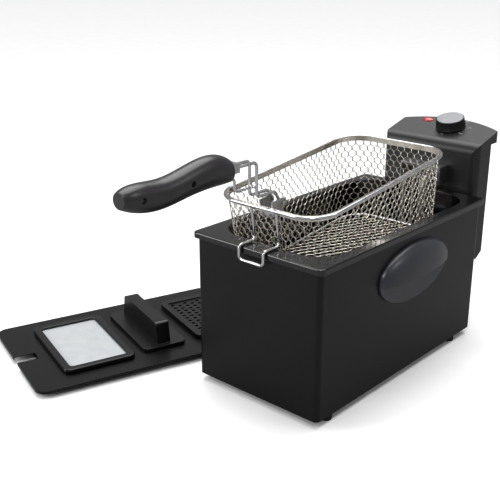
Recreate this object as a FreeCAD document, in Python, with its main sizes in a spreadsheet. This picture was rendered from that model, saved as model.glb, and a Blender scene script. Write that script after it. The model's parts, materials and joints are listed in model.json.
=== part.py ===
import FreeCAD, Part
import math
import os
import re
import Sketcher

# A household deep fryer with its basket hung up to drain and its lid lying beside it.
# The frame: +Z up from the counter at z = 0, the basket's grip points to -Y, the control head
# stands at +Y, and the origin is the middle of the housing's footprint. Millimetres and degrees.

os.makedirs("parts", exist_ok=True)
doc = FreeCAD.newDocument("DeepFryer")

SIZES = {
    # gaps between pieces
    "seat_gap": 0.3,
    "joint_gap": 0.1,
    "running_gap": 0.06,
    "slide_gap": 0.4,
    # sheet housing on its feet
    "housing_width": 180.0,
    "housing_length": 338.0,
    "housing_height": 178.2,
    "housing_corner": 6.0,
    "sheet": 1.2,
    "foot_height": 9.0,
    "foot_radius": 7.5,
    "foot_side_inset": 10.0,
    "front_foot_inset": 29.0,
    "back_foot_inset": 39.0,
    "foot_screw_radius": 1.5,
    "foot_screw_head_radius": 3.2,
    "foot_screw_head_height": 2.0,
    # enamelled oil pot
    "rim_thickness": 2.5,
    "rim_overhang": 4.0,
    "rim_skirt_depth": 7.0,
    "rim_skirt_wall": 2.0,
    "rim_corner": 6.5,
    "rim_edge_round": 1.8,
    "front_flange": 19.0,
    "back_flange": 9.0,
    "side_flange": 10.0,
    "pot_wall": 2.0,
    "pot_floor_gap": 17.0,
    "pot_corner": 38.0,
    "level_mark_length": 34.0,
    "level_mark_size": 1.2,
    "low_mark_height": 60.0,
    "high_mark_height": 95.0,
    # side handles
    "grip_plate_length": 146.0,
    "grip_plate_height": 72.0,
    "grip_bulge": 18.0,
    "grip_centre_y": 12.0,
    "grip_drop": 50.0,
    "grip_back_plate": 2.5,
    "grip_lip_drop": 1.0,
    "grip_shell": 3.2,
    "grip_hollow_length": 96.0,
    "grip_screw_spread": 58.0,
    "grip_screw_radius": 1.8,
    "grip_screw_depth": 5.0,
    "grip_screw_head_radius": 3.6,
    "grip_screw_head_height": 2.0,
    # rail on the rear wall that the control head slides on
    "rail_plate_width": 66.0,
    "rail_plate_wall": 1.5,
    "rail_height": 66.0,
    "rail_top_drop": 18.0,
    "rail_web_half": 5.0,
    "rail_flange_half": 13.0,
    "rail_flange_wall": 2.0,
    "rail_reach": 11.0,
    "rail_rivet_inset": 7.0,
    "rail_rivet_radius": 2.0,
    "rail_rivet_head_radius": 3.4,
    "rail_rivet_head_height": 1.4,
    "guide_wall": 3.0,
    "guide_back_wall": 2.5,
    "guide_margin": 4.0,
    # control head
    "head_side_inset": 18.0,
    "head_depth": 36.0,
    "head_bow": 18.0,
    "head_drop": 95.0,
    "head_corner": 10.0,
    "head_wall": 2.5,
    "head_split": 31.0,
    "head_foot_slant_start": 23.0,
    "head_foot_slant_rise": 20.0,
    "cap_rise": 48.0,
    "cap_front_height": 13.5,
    "cap_ridge_round": 14.0,
    "cap_top_wall": 2.5,
    "lip_reach": 15.0,
    "lip_height": 11.0,
    "lip_edge_rise": 6.0,
    "lip_root": 12.0,
    "panel_slope": 14.5,
    "seam_gap": 0.2,
    "cover_screw_radius": 1.5,
    "cover_screw_head_radius": 3.0,
    "cover_screw_head_height": 1.6,
    "cover_boss_radius": 3.6,
    "cover_screw_spread": 56.0,
    "cover_screw_low": 26.0,
    "cover_screw_high": 128.0,
    # dial, lamp and what sits under the panel
    "knob_x": 7.0,
    "knob_back": 42.0,
    "knob_radius": 20.0,
    "knob_top_radius": 19.0,
    "knob_height": 13.4,
    "knob_float": 0.8,
    "knob_cap_radius": 17.6,
    "knob_cap_height": 1.2,
    "shaft_radius": 3.0,
    "shaft_grip": 8.0,
    "thermostat_width": 30.0,
    "thermostat_front": 22.0,
    "thermostat_back": 4.0,
    "thermostat_height": 11.0,
    "thermostat_drop": 1.0,
    "thermostat_screw_spread": 11.0,
    "thermostat_screw_depth": 5.0,
    "thermostat_screw_radius": 1.5,
    "lamp_x": -42.0,
    "lamp_y": 12.0,
    "lens_half_x": 8.0,
    "lens_half_y": 5.5,
    "lens_rise": 2.6,
    "lens_stem_radius": 4.0,
    "lens_stem_length": 6.0,
    "neon_radius": 2.5,
    "neon_length": 14.0,
    # rear of the head
    "reset_x": -30.0,
    "reset_height": 42.0,
    "reset_radius": 3.4,
    "reset_length": 11.0,
    "reset_proud": 2.6,
    "cutout_radius": 9.0,
    "cutout_depth": 12.0,
    "cutout_gap": 3.0,
    "gland_x": 36.0,
    "gland_height": 30.0,
    "gland_radius": 6.5,
    "gland_flange_radius": 9.0,
    "gland_bore": 3.5,
    "gland_collar_wall": 2.5,
    "gland_collar_setback": 3.0,
    "gland_tail": 8.0,
    "gland_reach": 13.0,
    "switch_width": 20.0,
    "switch_depth": 10.0,
    "switch_height": 16.0,
    "switch_drop": 8.0,
    "block_width": 36.0,
    "block_depth": 14.0,
    "block_height": 16.0,
    "block_rise": 62.0,
    "block_gap": 3.0,
    # heating element and its sensor
    "element_radius": 3.2,
    "element_bend": 12.0,
    "element_floor_gap": 8.0,
    "element_leg_spread": 14.0,
    "element_side_gap": 25.0,
    "element_inner": 19.0,
    "element_front_gap": 42.0,
    "element_back_gap": 13.0,
    "element_entry": 17.0,
    "element_tail": 6.0,
    "element_row_step": 30.0,
    "bracket_half": 30.0,
    "bracket_low": 7.0,
    "bracket_high": 31.0,
    "bracket_reach": 20.0,
    "bracket_sheet": 1.2,
    "element_nut_half": 6.0,
    "element_nut_height": 4.0,
    "sensor_radius": 1.6,
    "bulb_radius": 3.0,
    "bulb_length": 70.0,
    "bulb_setback": 24.0,
    "sensor_bend": 8.0,
    "sensor_leg_shift": 1.0,
    "clip_wall": 1.2,
    "clip_width": 8.0,
    # basket
    "basket_side_room": 2.0,
    "basket_end_room": 42.0,
    "basket_depth": 110.0,
    "basket_corner": 36.0,
    "basket_taper": 6.0,
    "basket_tilt": 6.2,
    "basket_front_gap": 15.0,
    "basket_rise": 57.0,
    "rim_wire_radius": 2.0,
    "mesh_wall": 1.2,
    "base_wire_radius": 1.5,
    "hook_radius": 1.75,
    "hook_half": 17.5,
    "hook_bend": 5.0,
    "hook_drop": 14.0,
    "hook_clear": 1.2,
    # folding basket handle
    "pivot_inset": 24.0,
    "pivot_rise": 1.5,
    "cheek_gap": 16.0,
    "cheek_wall": 1.6,
    "cheek_radius": 5.5,
    "cheek_drop": 10.0,
    "handle_wire_radius": 1.8,
    "handle_wire_half": 5.0,
    "handle_wire_bend": 5.5,
    "handle_rise": 51.4,
    "handle_knee": 13.4,
    "handle_reach": 38.5,
    "handle_knee_inset": 9.0,
    "grip_start": 78.0,
    "grip_length": 141.0,
    "grip_height": 33.2,
    "grip_width": 27.2,
    "grip_wire_depth": 45.0,
    "brace_top": 39.4,
    "brace_low": 24.0,
    "brace_back": 67.0,
    "brace_radius": 1.6,
    "brace_depth": 20.0,
    "pin_length": 1.5,
    "grip_pin_radius": 1.5,
    "grip_pin_head": 3.0,
    "grip_pin_head_height": 1.6,
    "grip_pin_seat": 7.1,
    "ferrule_length": 9.0,
    "ferrule_border": 4.6,
    # lid on the counter
    "lid_side_overhang": 3.0,
    "lid_end_inset": 15.0,
    "lid_height": 10.0,
    "lid_sheet": 1.2,
    "lid_edge_depth": 4.0,
    "lid_ring_front": 29.0,
    "lid_ring_back": 14.0,
    "lid_ring_gap": 3.0,
    "lid_corner": 15.0,
    "lid_side_gap": 3.65,
    "lid_y": -154.0,
    "lid_turn": 18.3,
    "notch_width": 17.0,
    "notch_depth": 27.0,
    "window_width": 141.0,
    "window_front_share": 0.133,
    "window_length_share": 0.294,
    "window_border": 9.5,
    "window_corner": 10.0,
    "window_frame_height": 6.0,
    "glass_overlap": 2.5,
    "glass_thickness": 2.6,
    "lid_grip_front_share": 0.468,
    "lid_grip_width": 128.0,
    "lid_grip_length_share": 0.187,
    "lid_grip_base": 5.0,
    "lid_grip_corner": 8.0,
    "lid_grip_height": 33.0,
    "lid_bar_length": 116.0,
    "lid_bar_width": 18.0,
    "lid_bar_slant": 5.0,
    "lid_bar_corner": 5.0,
    "lid_screw_radius": 2.0,
    "lid_screw_depth": 12.0,
    "lid_screw_head_radius": 4.0,
    "lid_screw_head_height": 1.8,
    "vent_ring_gap": 2.1,
    "vent_width": 126.0,
    "vent_length_share": 0.24,
    "vent_height": 6.0,
    "vent_corner": 9.0,
    "vent_border": 9.0,
    "vent_opening_inset": 8.0,
    "vent_recess": 2.0,
    "vent_hole": 5.0,
    "vent_pitch": 9.5,
    "filter_thickness": 3.0,
    "filter_inset": 5.0,
}

# Sizes and places worked out from the sizes above.
WORKED_OUT = {
    "housing_half_x": "housing_width / 2",
    "housing_half_y": "housing_length / 2",
    "housing_top": "foot_height + housing_height",
    "rim_half_x": "housing_half_x + rim_overhang",
    "rim_half_y": "housing_half_y + rim_overhang",
    "rim_underside": "housing_top + seat_gap",
    "rim_top": "rim_underside + rim_thickness",
    "pot_half_x": "housing_half_x - side_flange",
    "pot_front": "front_flange - housing_half_y",
    "pot_back": "housing_half_y - back_flange",
    "pot_floor": "foot_height + pot_floor_gap + pot_wall",
    "grip_z": "housing_top - grip_drop",
    "rail_top": "housing_top - rail_top_drop",
    "rail_face": "housing_half_y + rail_reach",
    "head_half_x": "housing_half_x - head_side_inset",
    "head_front": "rail_face + slide_gap + guide_back_wall + joint_gap",
    "head_back": "head_front + head_depth",
    "head_back_middle": "head_back + head_bow",
    "head_bottom": "housing_top - head_drop",
    "bow_radius": "(head_half_x ^ 2 + head_bow ^ 2) / (2 * head_bow)",
    "bow_centre": "head_back_middle - bow_radius",
    "cap_seam": "rim_top + cap_rise",
    "panel_front_z": "cap_seam + cap_front_height",
    "split_y": "head_front + head_split",
    "knob_y": "head_front + knob_back",
    "knob_z": "panel_front_z + knob_back * tan(panel_slope)",
    "element_low": "pot_floor + element_floor_gap + element_radius",
    "element_high": "rim_top + element_entry",
    "element_leg_y": "pot_back - element_back_gap",
    "element_front": "pot_front + element_front_gap",
    "element_outer": "pot_half_x - element_side_gap",
    "bulb_rise": "element_radius + bulb_radius + clip_wall + 2 * joint_gap",
    "basket_half_x": "pot_half_x - basket_side_room",
    "basket_half_y": "(pot_back - pot_front - basket_end_room) / 2",
    "basket_y": "basket_half_y * cos(basket_tilt) - rim_half_y + basket_front_gap",
    "basket_z": "rim_top + basket_rise",
    "mesh_half_x": "basket_half_x - 2 * rim_wire_radius - joint_gap",
    "mesh_half_y": "basket_half_y - 2 * rim_wire_radius - joint_gap",
    "mesh_corner": "basket_corner - 2 * rim_wire_radius",
    "pivot_local_y": "pivot_inset - basket_half_y",
    "pivot_y": "basket_y + pivot_local_y * cos(basket_tilt) - pivot_rise * sin(basket_tilt)",
    "pivot_z": "basket_z + pivot_local_y * sin(basket_tilt) + pivot_rise * cos(basket_tilt)",
    "grip_end": "grip_start + grip_length",
    "lid_half_x": "rim_half_x + lid_side_overhang",
    "lid_half_y": "rim_half_y - lid_end_inset",
    "window_front": "2 * window_front_share * lid_half_y",
    "window_length": "2 * window_length_share * lid_half_y",
    "lid_grip_front": "2 * lid_grip_front_share * lid_half_y",
    "lid_grip_length": "2 * lid_grip_length_share * lid_half_y",
    "vent_length": "2 * vent_length_share * lid_half_y",
    "vent_front": "2 * lid_half_y - lid_ring_back - vent_ring_gap - vent_length",
    "vent_row_pitch": "vent_length / 8",
    "lid_flat_x": "lid_half_x - lid_corner",
    "lid_flat_y": "lid_half_y - lid_corner",
    "lid_turned_half": "lid_flat_x * cos(lid_turn) + lid_flat_y * sin(lid_turn)",
    "lid_x": "-(housing_half_x + lid_side_gap + lid_turned_half + lid_corner)",
    "plate_top": "lid_height + joint_gap",
}

# Places that whole groups of pieces are built in: (x, y, z), turning axis, angle.
PLACES = {
    "basket": (("0", "basket_y", "basket_z"), (1, 0, 0), "basket_tilt"),
    "handle": (("0", "pivot_y", "pivot_z"), (1, 0, 0), "0"),
    "panel": (("knob_x", "knob_y", "knob_z"), (1, 0, 0), "panel_slope"),
    "lid": (("lid_x", "lid_y", "0"), (0, 0, 1), "-lid_turn"),
}

NODES = []

sizes = doc.addObject("Spreadsheet::Sheet", "Sizes")
for row, (alias, number) in enumerate(SIZES.items(), start=1):
    sizes.set(f"A{row}", alias)
    sizes.set(f"B{row}", str(number))
    sizes.setAlias(f"B{row}", alias)
doc.recompute()


# ---------------------------------------------------------------- sizes in expressions

def formula(text):
    """Spell an expression out: worked-out names in full, sheet names with their sheet."""
    def spell(match):
        word = match.group(0)
        if word in WORKED_OUT:
            return f"({formula(WORKED_OUT[word])})"
        return f"Sizes.{word}" if word in SIZES else word
    return re.sub(r"[A-Za-z_]\w*", spell, str(text))


def value(text):
    """The number that an expression stands for now."""
    return float(sizes.evalExpression(formula(text)))


def vector(x, y, z):
    return FreeCAD.Vector(value(x), value(y), value(z))


# ---------------------------------------------------------------- building blocks

def bind_place(item, base, axis=(0, 0, 1), angle="0"):
    """Tie an object's position and turn to expressions."""
    turn = FreeCAD.Rotation(FreeCAD.Vector(*axis), value(angle))
    item.Placement = FreeCAD.Placement(vector(*base), turn)
    for letter, text in zip("xyz", base):
        item.setExpression(f"Placement.Base.{letter}", formula(text))
    if angle != "0":
        item.setExpression("Placement.Rotation.Angle", formula(angle))


def node(name, item, place=None):
    """Make an object a piece of the fryer: label it and set it in its group's place."""
    item.Label = name
    if place:
        bind_place(item, *PLACES[place])
    NODES.append(item)
    return item


def block(name, x, y, z):
    """A box between a low and a high position on each axis."""
    box = doc.addObject("Part::Box", name)
    for letter, side, (low, high) in zip("xyz", ("Length", "Width", "Height"), (x, y, z)):
        box.setExpression(side, formula(f"({high}) - ({low})"))
        box.setExpression(f"Placement.Base.{letter}", formula(low))
    return box


def rod(name, radius, base, length, axis=(0, 0, 1)):
    """A cylinder from the middle of its first face, along an axis."""
    cylinder = doc.addObject("Part::Cylinder", name)
    cylinder.setExpression("Radius", formula(radius))
    cylinder.setExpression("Height", formula(length))
    turn = FreeCAD.Rotation(FreeCAD.Vector(0, 0, 1), FreeCAD.Vector(*axis))
    cylinder.Placement = FreeCAD.Placement(vector(*base), turn)
    for letter, text in zip("xyz", base):
        cylinder.setExpression(f"Placement.Base.{letter}", formula(text))
    return cylinder


def fuse(name, *pieces):
    joined = doc.addObject("Part::MultiFuse", name)
    joined.Shapes = list(pieces)
    return joined


def common(name, *pieces):
    shared = doc.addObject("Part::MultiCommon", name)
    shared.Shapes = list(pieces)
    return shared


def cut(name, base, *tools):
    trimmed = doc.addObject("Part::Cut", name)
    trimmed.Base = base
    trimmed.Tool = tools[0] if len(tools) == 1 else fuse(name + "Tools", *tools)
    return trimmed


def group(name, pieces):
    """Identical pieces that share one node as separate solids."""
    together = doc.addObject("Part::Compound", name)
    together.Links = list(pieces)
    return together


def rectangle(x, y, corner="0"):
    """Corners of an upright rectangle, anticlockwise."""
    return [(x[0], y[0], corner), (x[1], y[0], corner), (x[1], y[1], corner), (x[0], y[1], corner)]


def centred(half_x, half_y, corner="0"):
    """Corners of a rectangle about the origin."""
    return rectangle((f"-({half_x})", half_x), (f"-({half_y})", half_y), corner)


def draw_outline(sketch, corners):
    """Draw straight sides with tangent arcs at the corners, each corner tied to its expressions."""
    count = len(corners)
    points = [FreeCAD.Vector(value(x), value(y), 0) for x, y, _ in corners]
    starts, ends, arcs = [], [], {}
    for i, point in enumerate(points):
        arriving = (point - points[i - 1]).normalize()
        leaving = (points[(i + 1) % count] - point).normalize()
        radius = value(corners[i][2])
        if radius <= 0:
            ends.append(point)
            starts.append(point)
            continue
        turn = arriving.x * leaving.y - arriving.y * leaving.x
        half = math.acos(max(-1, min(1, arriving.dot(leaving)))) / 2
        ends.append(point - arriving * radius * math.tan(half))
        starts.append(point + leaving * radius * math.tan(half))
        left = 1 if turn > 0 else -1
        centre = ends[i] + FreeCAD.Vector(-arriving.y, arriving.x, 0) * radius * left
        angles = [math.atan2(spot.y - centre.y, spot.x - centre.x) for spot in (ends[i], starts[i])]
        arcs[i] = (centre, radius, angles if left > 0 else angles[::-1], left > 0)
    lines = [
        sketch.addGeometry(Part.LineSegment(starts[i], ends[(i + 1) % count]), False)
        for i in range(count)
    ]
    for i, (x, y, corner) in enumerate(corners):
        before, after = lines[i - 1], lines[i]
        if i in arcs:
            centre, radius, (first, last), left = arcs[i]
            circle = Part.Circle(centre, FreeCAD.Vector(0, 0, 1), radius)
            arc = sketch.addGeometry(Part.ArcOfCircle(circle, first, last), False)
            held = sketch.addGeometry(Part.Point(points[i]), True)
            entry, leave = (1, 2) if left else (2, 1)
            sketch.addConstraint(Sketcher.Constraint("Tangent", before, 2, arc, entry))
            sketch.addConstraint(Sketcher.Constraint("Tangent", arc, leave, after, 1))
            sketch.addConstraint(Sketcher.Constraint("PointOnObject", held, 1, before))
            sketch.addConstraint(Sketcher.Constraint("PointOnObject", held, 1, after))
            index = sketch.addConstraint(Sketcher.Constraint("Radius", arc, radius))
            sketch.setExpression(f"Constraints[{index}]", formula(corner))
            mark = (held, 1)
        else:
            sketch.addConstraint(Sketcher.Constraint("Coincident", before, 2, after, 1))
            mark = (after, 1)
        for kind, text, spot in (("DistanceX", x, points[i].x), ("DistanceY", y, points[i].y)):
            index = sketch.addConstraint(Sketcher.Constraint(kind, -1, 1, *mark, spot))
            sketch.setExpression(f"Constraints[{index}]", formula(text))


def sketch_in(body, plane, start, corners):
    """A sketch on one of the body's own planes, moved along its normal to start."""
    support = next(item for item in body.Origin.OriginFeatures if item.Role == plane + "_Plane")
    sketch = body.newObject("Sketcher::SketchObject", body.Name + "Sketch")
    sketch.AttachmentSupport = (support, [""])
    sketch.MapMode = "FlatFace"
    sketch.setExpression("AttachmentOffset.Base.z", formula(start))
    draw_outline(sketch, corners)
    return sketch


def prism(name, plane, start, length, corners):
    """An outline padded along +Z (plane XY) or +X (plane YZ)."""
    body = doc.addObject("PartDesign::Body", name)
    pad = body.newObject("PartDesign::Pad", name + "Pad")
    pad.Profile = sketch_in(body, plane, start, corners)
    pad.setExpression("Length", formula(length))
    body.Tip = pad
    return body


def wall_prism(name, start, length, corners):
    """An outline in x and z padded along +Y."""
    body = doc.addObject("PartDesign::Body", name)
    pad = body.newObject("PartDesign::Pad", name + "Pad")
    pad.Profile = sketch_in(body, "XZ", f"-({start})", corners)
    pad.Reversed = True
    pad.setExpression("Length", formula(length))
    body.Tip = pad
    return body


def loft_between(name, low, low_corners, high, high_corners):
    """A solid between two outlines at two heights."""
    body = doc.addObject("PartDesign::Body", name)
    bottom = sketch_in(body, "XY", low, low_corners)
    top = sketch_in(body, "XY", high, high_corners)
    loft = body.newObject("PartDesign::AdditiveLoft", name + "Loft")
    loft.Profile = bottom
    loft.Sections = [top]
    loft.Ruled = True
    body.Tip = loft
    return body


def bent_wire(points, bends, radius):
    """A round wire of straight runs and tangent arcs, one bend radius for each inner corner."""
    edges, here = [], points[0]
    for i, bend in enumerate(bends, start=1):
        before = (points[i - 1] - points[i]).normalize()
        after = (points[i + 1] - points[i]).normalize()
        half_turn = (math.pi - before.getAngle(after)) / 2
        trim = bend * math.tan(half_turn)
        arrive = points[i] + before * trim
        leave = points[i] + after * trim
        middle = points[i] + (before + after).normalize() * (bend / math.cos(half_turn) - bend)
        edges.append(Part.LineSegment(here, arrive).toShape())
        edges.append(Part.Arc(arrive, middle, leave).toShape())
        here = leave
    edges.append(Part.LineSegment(here, points[-1]).toShape())
    profile = Part.Wire([Part.Circle(points[0], points[1] - points[0], radius).toShape()])
    return Part.Wire(edges).makePipeShell([profile], True, False)


def wire_node(name, shape, place=None):
    """A bent wire as an object of its own."""
    feature = doc.addObject("Part::Feature", name)
    feature.Shape = shape
    return node(name, feature, place)


# ---------------------------------------------------------------- housing

def build_housing():
    """A sheet shell open above, closed below by a plate that carries the four feet."""
    outer = prism("ShellOuter", "XY", "foot_height", "housing_height",
                  centred("housing_half_x", "housing_half_y", "housing_corner"))
    inner = prism("ShellInner", "XY", "foot_height - 1", "housing_height + 2",
                  centred("housing_half_x - sheet", "housing_half_y - sheet", "housing_corner - sheet"))
    holes = [
        rod(f"HandleHole{index}", "grip_screw_radius + joint_gap",
            ("-housing_half_x - 1", y, "grip_z"), "housing_width + 2", (1, 0, 0))
        for index, y in enumerate(handle_screw_rows())
    ]
    holes += [
        rod(f"RivetHole{index}", "rail_rivet_radius + joint_gap",
            (x, "housing_half_y - sheet - 1", z), "sheet + 2", (0, 1, 0))
        for index, (x, z) in enumerate(rail_rivets())
    ]
    node("housing_shell", cut("HousingShell", outer, inner, *holes))

    plate = prism("PlateBlank", "XY", "foot_height + joint_gap", "sheet",
                  centred("housing_half_x - sheet - joint_gap", "housing_half_y - sheet - joint_gap",
                          "housing_corner - sheet"))
    feet, screws, holes = [], [], []
    middle = "foot_height / 2"
    for index, (x, y) in enumerate(foot_places()):
        pad = rod(f"FootPad{index}", "foot_radius", (x, y, "0"), "foot_height")
        bore = rod(f"FootBore{index}", "foot_screw_radius + running_gap", (x, y, "-1"), "foot_height + 2")
        sink = rod(f"FootSink{index}", "foot_screw_head_radius + joint_gap", (x, y, "-1"), f"1 + {middle}")
        feet.append(cut(f"Foot{index}", pad, bore, sink))
        holes.append(rod(f"PlateHole{index}", "foot_screw_radius + running_gap",
                         (x, y, "foot_height - 1"), "sheet + 2"))
        shank = rod(f"FootShank{index}", "foot_screw_radius", (x, y, middle),
                    f"{middle} + sheet + foot_screw_head_height")
        head = rod(f"FootScrewHead{index}", "foot_screw_head_radius",
                   (x, y, f"{middle} - foot_screw_head_height"), "foot_screw_head_height")
        screws.append(fuse(f"FootScrew{index}", shank, head))
    node("base_plate", cut("BasePlate", plate, *holes))
    node("feet", group("Feet", feet))
    node("foot_screws", group("FootScrews", screws))


def foot_places():
    rows = ("front_foot_inset - housing_half_y", "housing_half_y - back_foot_inset")
    return [(f"{side} * (housing_half_x - foot_side_inset)", y) for side in (-1, 1) for y in rows]


def handle_screw_rows():
    return ("grip_centre_y - grip_screw_spread", "grip_centre_y + grip_screw_spread")


def rail_rivets():
    half = "rail_plate_width / 2 - rail_rivet_inset"
    rows = [f"rail_top - {share} * rail_height" for share in (0.15, 0.85)]
    return [(f"{side} * ({half})", z) for side in (-1, 1) for z in rows]


def build_side_handles():
    """A domed grip on each long wall, hollow from below for the fingers."""
    rows = ("grip_centre_y - grip_plate_length", "grip_centre_y + grip_plate_length")
    heights = ("grip_z - grip_plate_height", "grip_z + grip_plate_height")
    screws = []
    for side, word in ((-1, "left"), (1, "right")):
        face = f"{side} * (housing_half_x + joint_gap)"
        far = f"{side} * (housing_half_x + grip_bulge + 2)"
        plate_edge = f"{side} * (housing_half_x + grip_back_plate)"
        inward = 180 if side > 0 else 0
        dome = ellipsoid(f"Dome_{word}", ("grip_bulge", "grip_plate_length / 2", "grip_plate_height / 2"),
                         (face, "grip_centre_y", "grip_z"), inward)
        brow_block = block(f"BrowBlock_{word}", ordered(side, face, far), rows,
                           ("grip_z - grip_lip_drop", heights[1]))
        plate_block = block(f"ScoopBlock_{word}", ordered(side, face, plate_edge), rows, heights)
        hollow = ellipsoid(
            f"Hollow_{word}",
            ("grip_bulge - grip_shell", "grip_hollow_length / 2", "grip_plate_height / 2 - grip_shell"),
            (face, "grip_centre_y", "grip_z"), inward)
        finger_block = block(f"FingerBlock_{word}", ordered(side, plate_edge, far), rows, heights)
        finger_room = common(f"FingerRoom_{word}", hollow, finger_block)
        inside = f"{side} * (housing_half_x - sheet - joint_gap)"
        length = "sheet + 2 * joint_gap + grip_screw_depth"
        bores = []
        for index, y in enumerate(handle_screw_rows()):
            start = (inside, y, "grip_z")
            bores.append(rod(f"HandleBore_{word}{index}", "grip_screw_radius + running_gap", start,
                             f"{length} + 1", (side, 0, 0)))
            shank = rod(f"HandleShank_{word}{index}", "grip_screw_radius", start, length, (side, 0, 0))
            head = rod(f"HandleHead_{word}{index}", "grip_screw_head_radius", start,
                       "grip_screw_head_height", (-side, 0, 0))
            screws.append(fuse(f"HandleScrew_{word}{index}", shank, head))
        solid = common(f"HandleSolid_{word}", dome, fuse(f"BrowAndPlate_{word}", brow_block, plate_block))
        node(f"side_handle_{word}", cut(f"SideHandle_{word}", solid, finger_room, *bores))
    node("side_handle_screws", group("SideHandleScrews", screws))


def ordered(side, near, far):
    """A low and a high position from two that are mirrored for the side -1."""
    return (far, near) if side < 0 else (near, far)


def ellipsoid(name, radii, centre, turn=0):
    """An ellipsoid with half-lengths along x, y and z; turn sets which way its seam faces."""
    item = doc.addObject("Part::Ellipsoid", name)
    item.Placement = FreeCAD.Placement(vector(*centre), FreeCAD.Rotation(FreeCAD.Vector(0, 0, 1), turn))
    for side, text in zip(("Radius2", "Radius3", "Radius1"), radii):
        item.setExpression(side, formula(text))
    for letter, text in zip("xyz", centre):
        item.setExpression(f"Placement.Base.{letter}", formula(text))
    return item


def build_rear_rail():
    """A T-section rail riveted to the rear wall; the head's channel slides down over it."""
    low = "rail_top - rail_height"
    wall_face = "housing_half_y + joint_gap"
    plate = block("RailPlate", ("-rail_plate_width / 2", "rail_plate_width / 2"),
                  (wall_face, "housing_half_y + joint_gap + rail_plate_wall"), (low, "rail_top"))
    web = block("RailWeb", ("-rail_web_half", "rail_web_half"), (wall_face, "rail_face"), (low, "rail_top"))
    flange = block("RailFlange", ("-rail_flange_half", "rail_flange_half"),
                   ("rail_face - rail_flange_wall", "rail_face"), (low, "rail_top"))
    tail_face = "housing_half_y - sheet - joint_gap"
    head_face = "housing_half_y + rail_plate_wall + 2 * joint_gap"
    holes, rivets = [], []
    for index, (x, z) in enumerate(rail_rivets()):
        holes.append(rod(f"RailHole{index}", "rail_rivet_radius + running_gap",
                         (x, "housing_half_y - 1", z), "rail_plate_wall + 3", (0, 1, 0)))
        shank = rod(f"RivetShank{index}", "rail_rivet_radius", (x, tail_face, z),
                    "sheet + rail_plate_wall + 3 * joint_gap", (0, 1, 0))
        head = rod(f"RivetHead{index}", "rail_rivet_head_radius", (x, head_face, z),
                   "rail_rivet_head_height", (0, 1, 0))
        tail = rod(f"RivetTail{index}", "rail_rivet_head_radius", (x, tail_face, z),
                   "rail_rivet_head_height", (0, -1, 0))
        rivets.append(fuse(f"Rivet{index}", shank, head, tail))
    node("rear_rail", cut("RearRail", fuse("RailSolid", plate, web, flange), *holes))
    node("rail_rivets", group("RailRivets", rivets))


# ---------------------------------------------------------------- oil pot

def build_pot():
    """The enamelled pot, its rim plate turned down over the housing's top edge."""
    plate = doc.addObject("PartDesign::Body", "RimPlate")
    pad = plate.newObject("PartDesign::Pad", "RimPad")
    skirt_low = "rim_top - rim_skirt_depth"
    pad.Profile = sketch_in(plate, "XY", skirt_low, centred("rim_half_x", "rim_half_y", "rim_corner"))
    pad.setExpression("Length", formula("rim_skirt_depth"))
    doc.recompute()
    top = value("rim_top")
    edges = [
        f"Edge{index}" for index, edge in enumerate(pad.Shape.Edges, start=1)
        if all(abs(vertex.Z - top) < 1e-4 for vertex in edge.Vertexes)
    ]
    rounding = plate.newObject("PartDesign::Fillet", "RimRound")
    rounding.Base = (pad, edges)
    rounding.setExpression("Radius", formula("rim_edge_round"))
    plate.Tip = rounding
    under = prism("RimUnder", "XY", f"{skirt_low} - 1", "rim_skirt_depth - rim_thickness + 1",
                  centred("rim_half_x - rim_skirt_wall", "rim_half_y - rim_skirt_wall",
                          "rim_corner - rim_skirt_wall"))
    skirt = cut("RimSkirt", plate, under)
    tub = prism("TubOuter", "XY", "pot_floor - pot_wall",
                "rim_top - rim_thickness / 2 - pot_floor + pot_wall",
                rectangle(("-pot_half_x - pot_wall", "pot_half_x + pot_wall"),
                          ("pot_front - pot_wall", "pot_back + pot_wall"), "pot_corner + pot_wall"))
    room = prism("TubInner", "XY", "pot_floor", "rim_top - pot_floor + 1",
                 rectangle(("-pot_half_x", "pot_half_x"), ("pot_front", "pot_back"), "pot_corner"))
    hollow_pot = cut("HollowPot", fuse("PotSolid", skirt, tub), room)
    marks = [
        block(f"LevelMark{index}", ("-pot_half_x - pot_wall / 2", "level_mark_size - pot_half_x"),
              ("-level_mark_length / 2", "level_mark_length / 2"),
              (f"pot_floor + {height}", f"pot_floor + {height} + level_mark_size"))
        for index, height in enumerate(("low_mark_height", "high_mark_height"))
    ]
    node("oil_pot", fuse("OilPot", hollow_pot, *marks))


# ---------------------------------------------------------------- control head

def head_form(name, inset, back, side):
    """The head's bowed plan, inset all round and pushed back, kept inside a side outline."""
    deep = f"head_back_middle + {back} + 1"
    plan = prism(f"{name}Plan", "XY", "head_bottom - 1", "cap_seam - head_bottom + lip_reach + cap_rise", [
        (f"{inset} - head_half_x", f"head_front + {inset}", f"head_corner - {inset}"),
        (f"head_half_x - {inset}", f"head_front + {inset}", f"head_corner - {inset}"),
        (f"head_half_x - {inset}", deep, "0"),
        (f"{inset} - head_half_x", deep, "0"),
    ])
    bow = rod(f"{name}Bow", f"bow_radius - {inset}", ("0", f"bow_centre + {back}", "head_bottom - 1"),
              "cap_seam - head_bottom + lip_reach + cap_rise")
    profile = prism(f"{name}Side", "YZ", "-head_half_x - 1", "2 * head_half_x + 2", side)
    return common(name, plan, bow, profile)


def lower_side(inset, high):
    """Side outline of the lower head, its foot slanting up towards the back."""
    low = f"head_bottom + {inset}"
    deep = "head_back_middle + 2"
    return [
        ("head_front - 1", low, "0"),
        (f"head_front + head_foot_slant_start - {inset} / 2", low, "0"),
        (deep, f"{low} + head_foot_slant_rise", "0"),
        (deep, high, "0"),
        ("head_front - 1", high, "0"),
    ]


def panel_line(y, drop="0"):
    """Height of the sloping panel at a distance y, less a drop."""
    return f"panel_front_z + ({y} - head_front) * tan(panel_slope) - {drop} / cos(panel_slope)"


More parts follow.
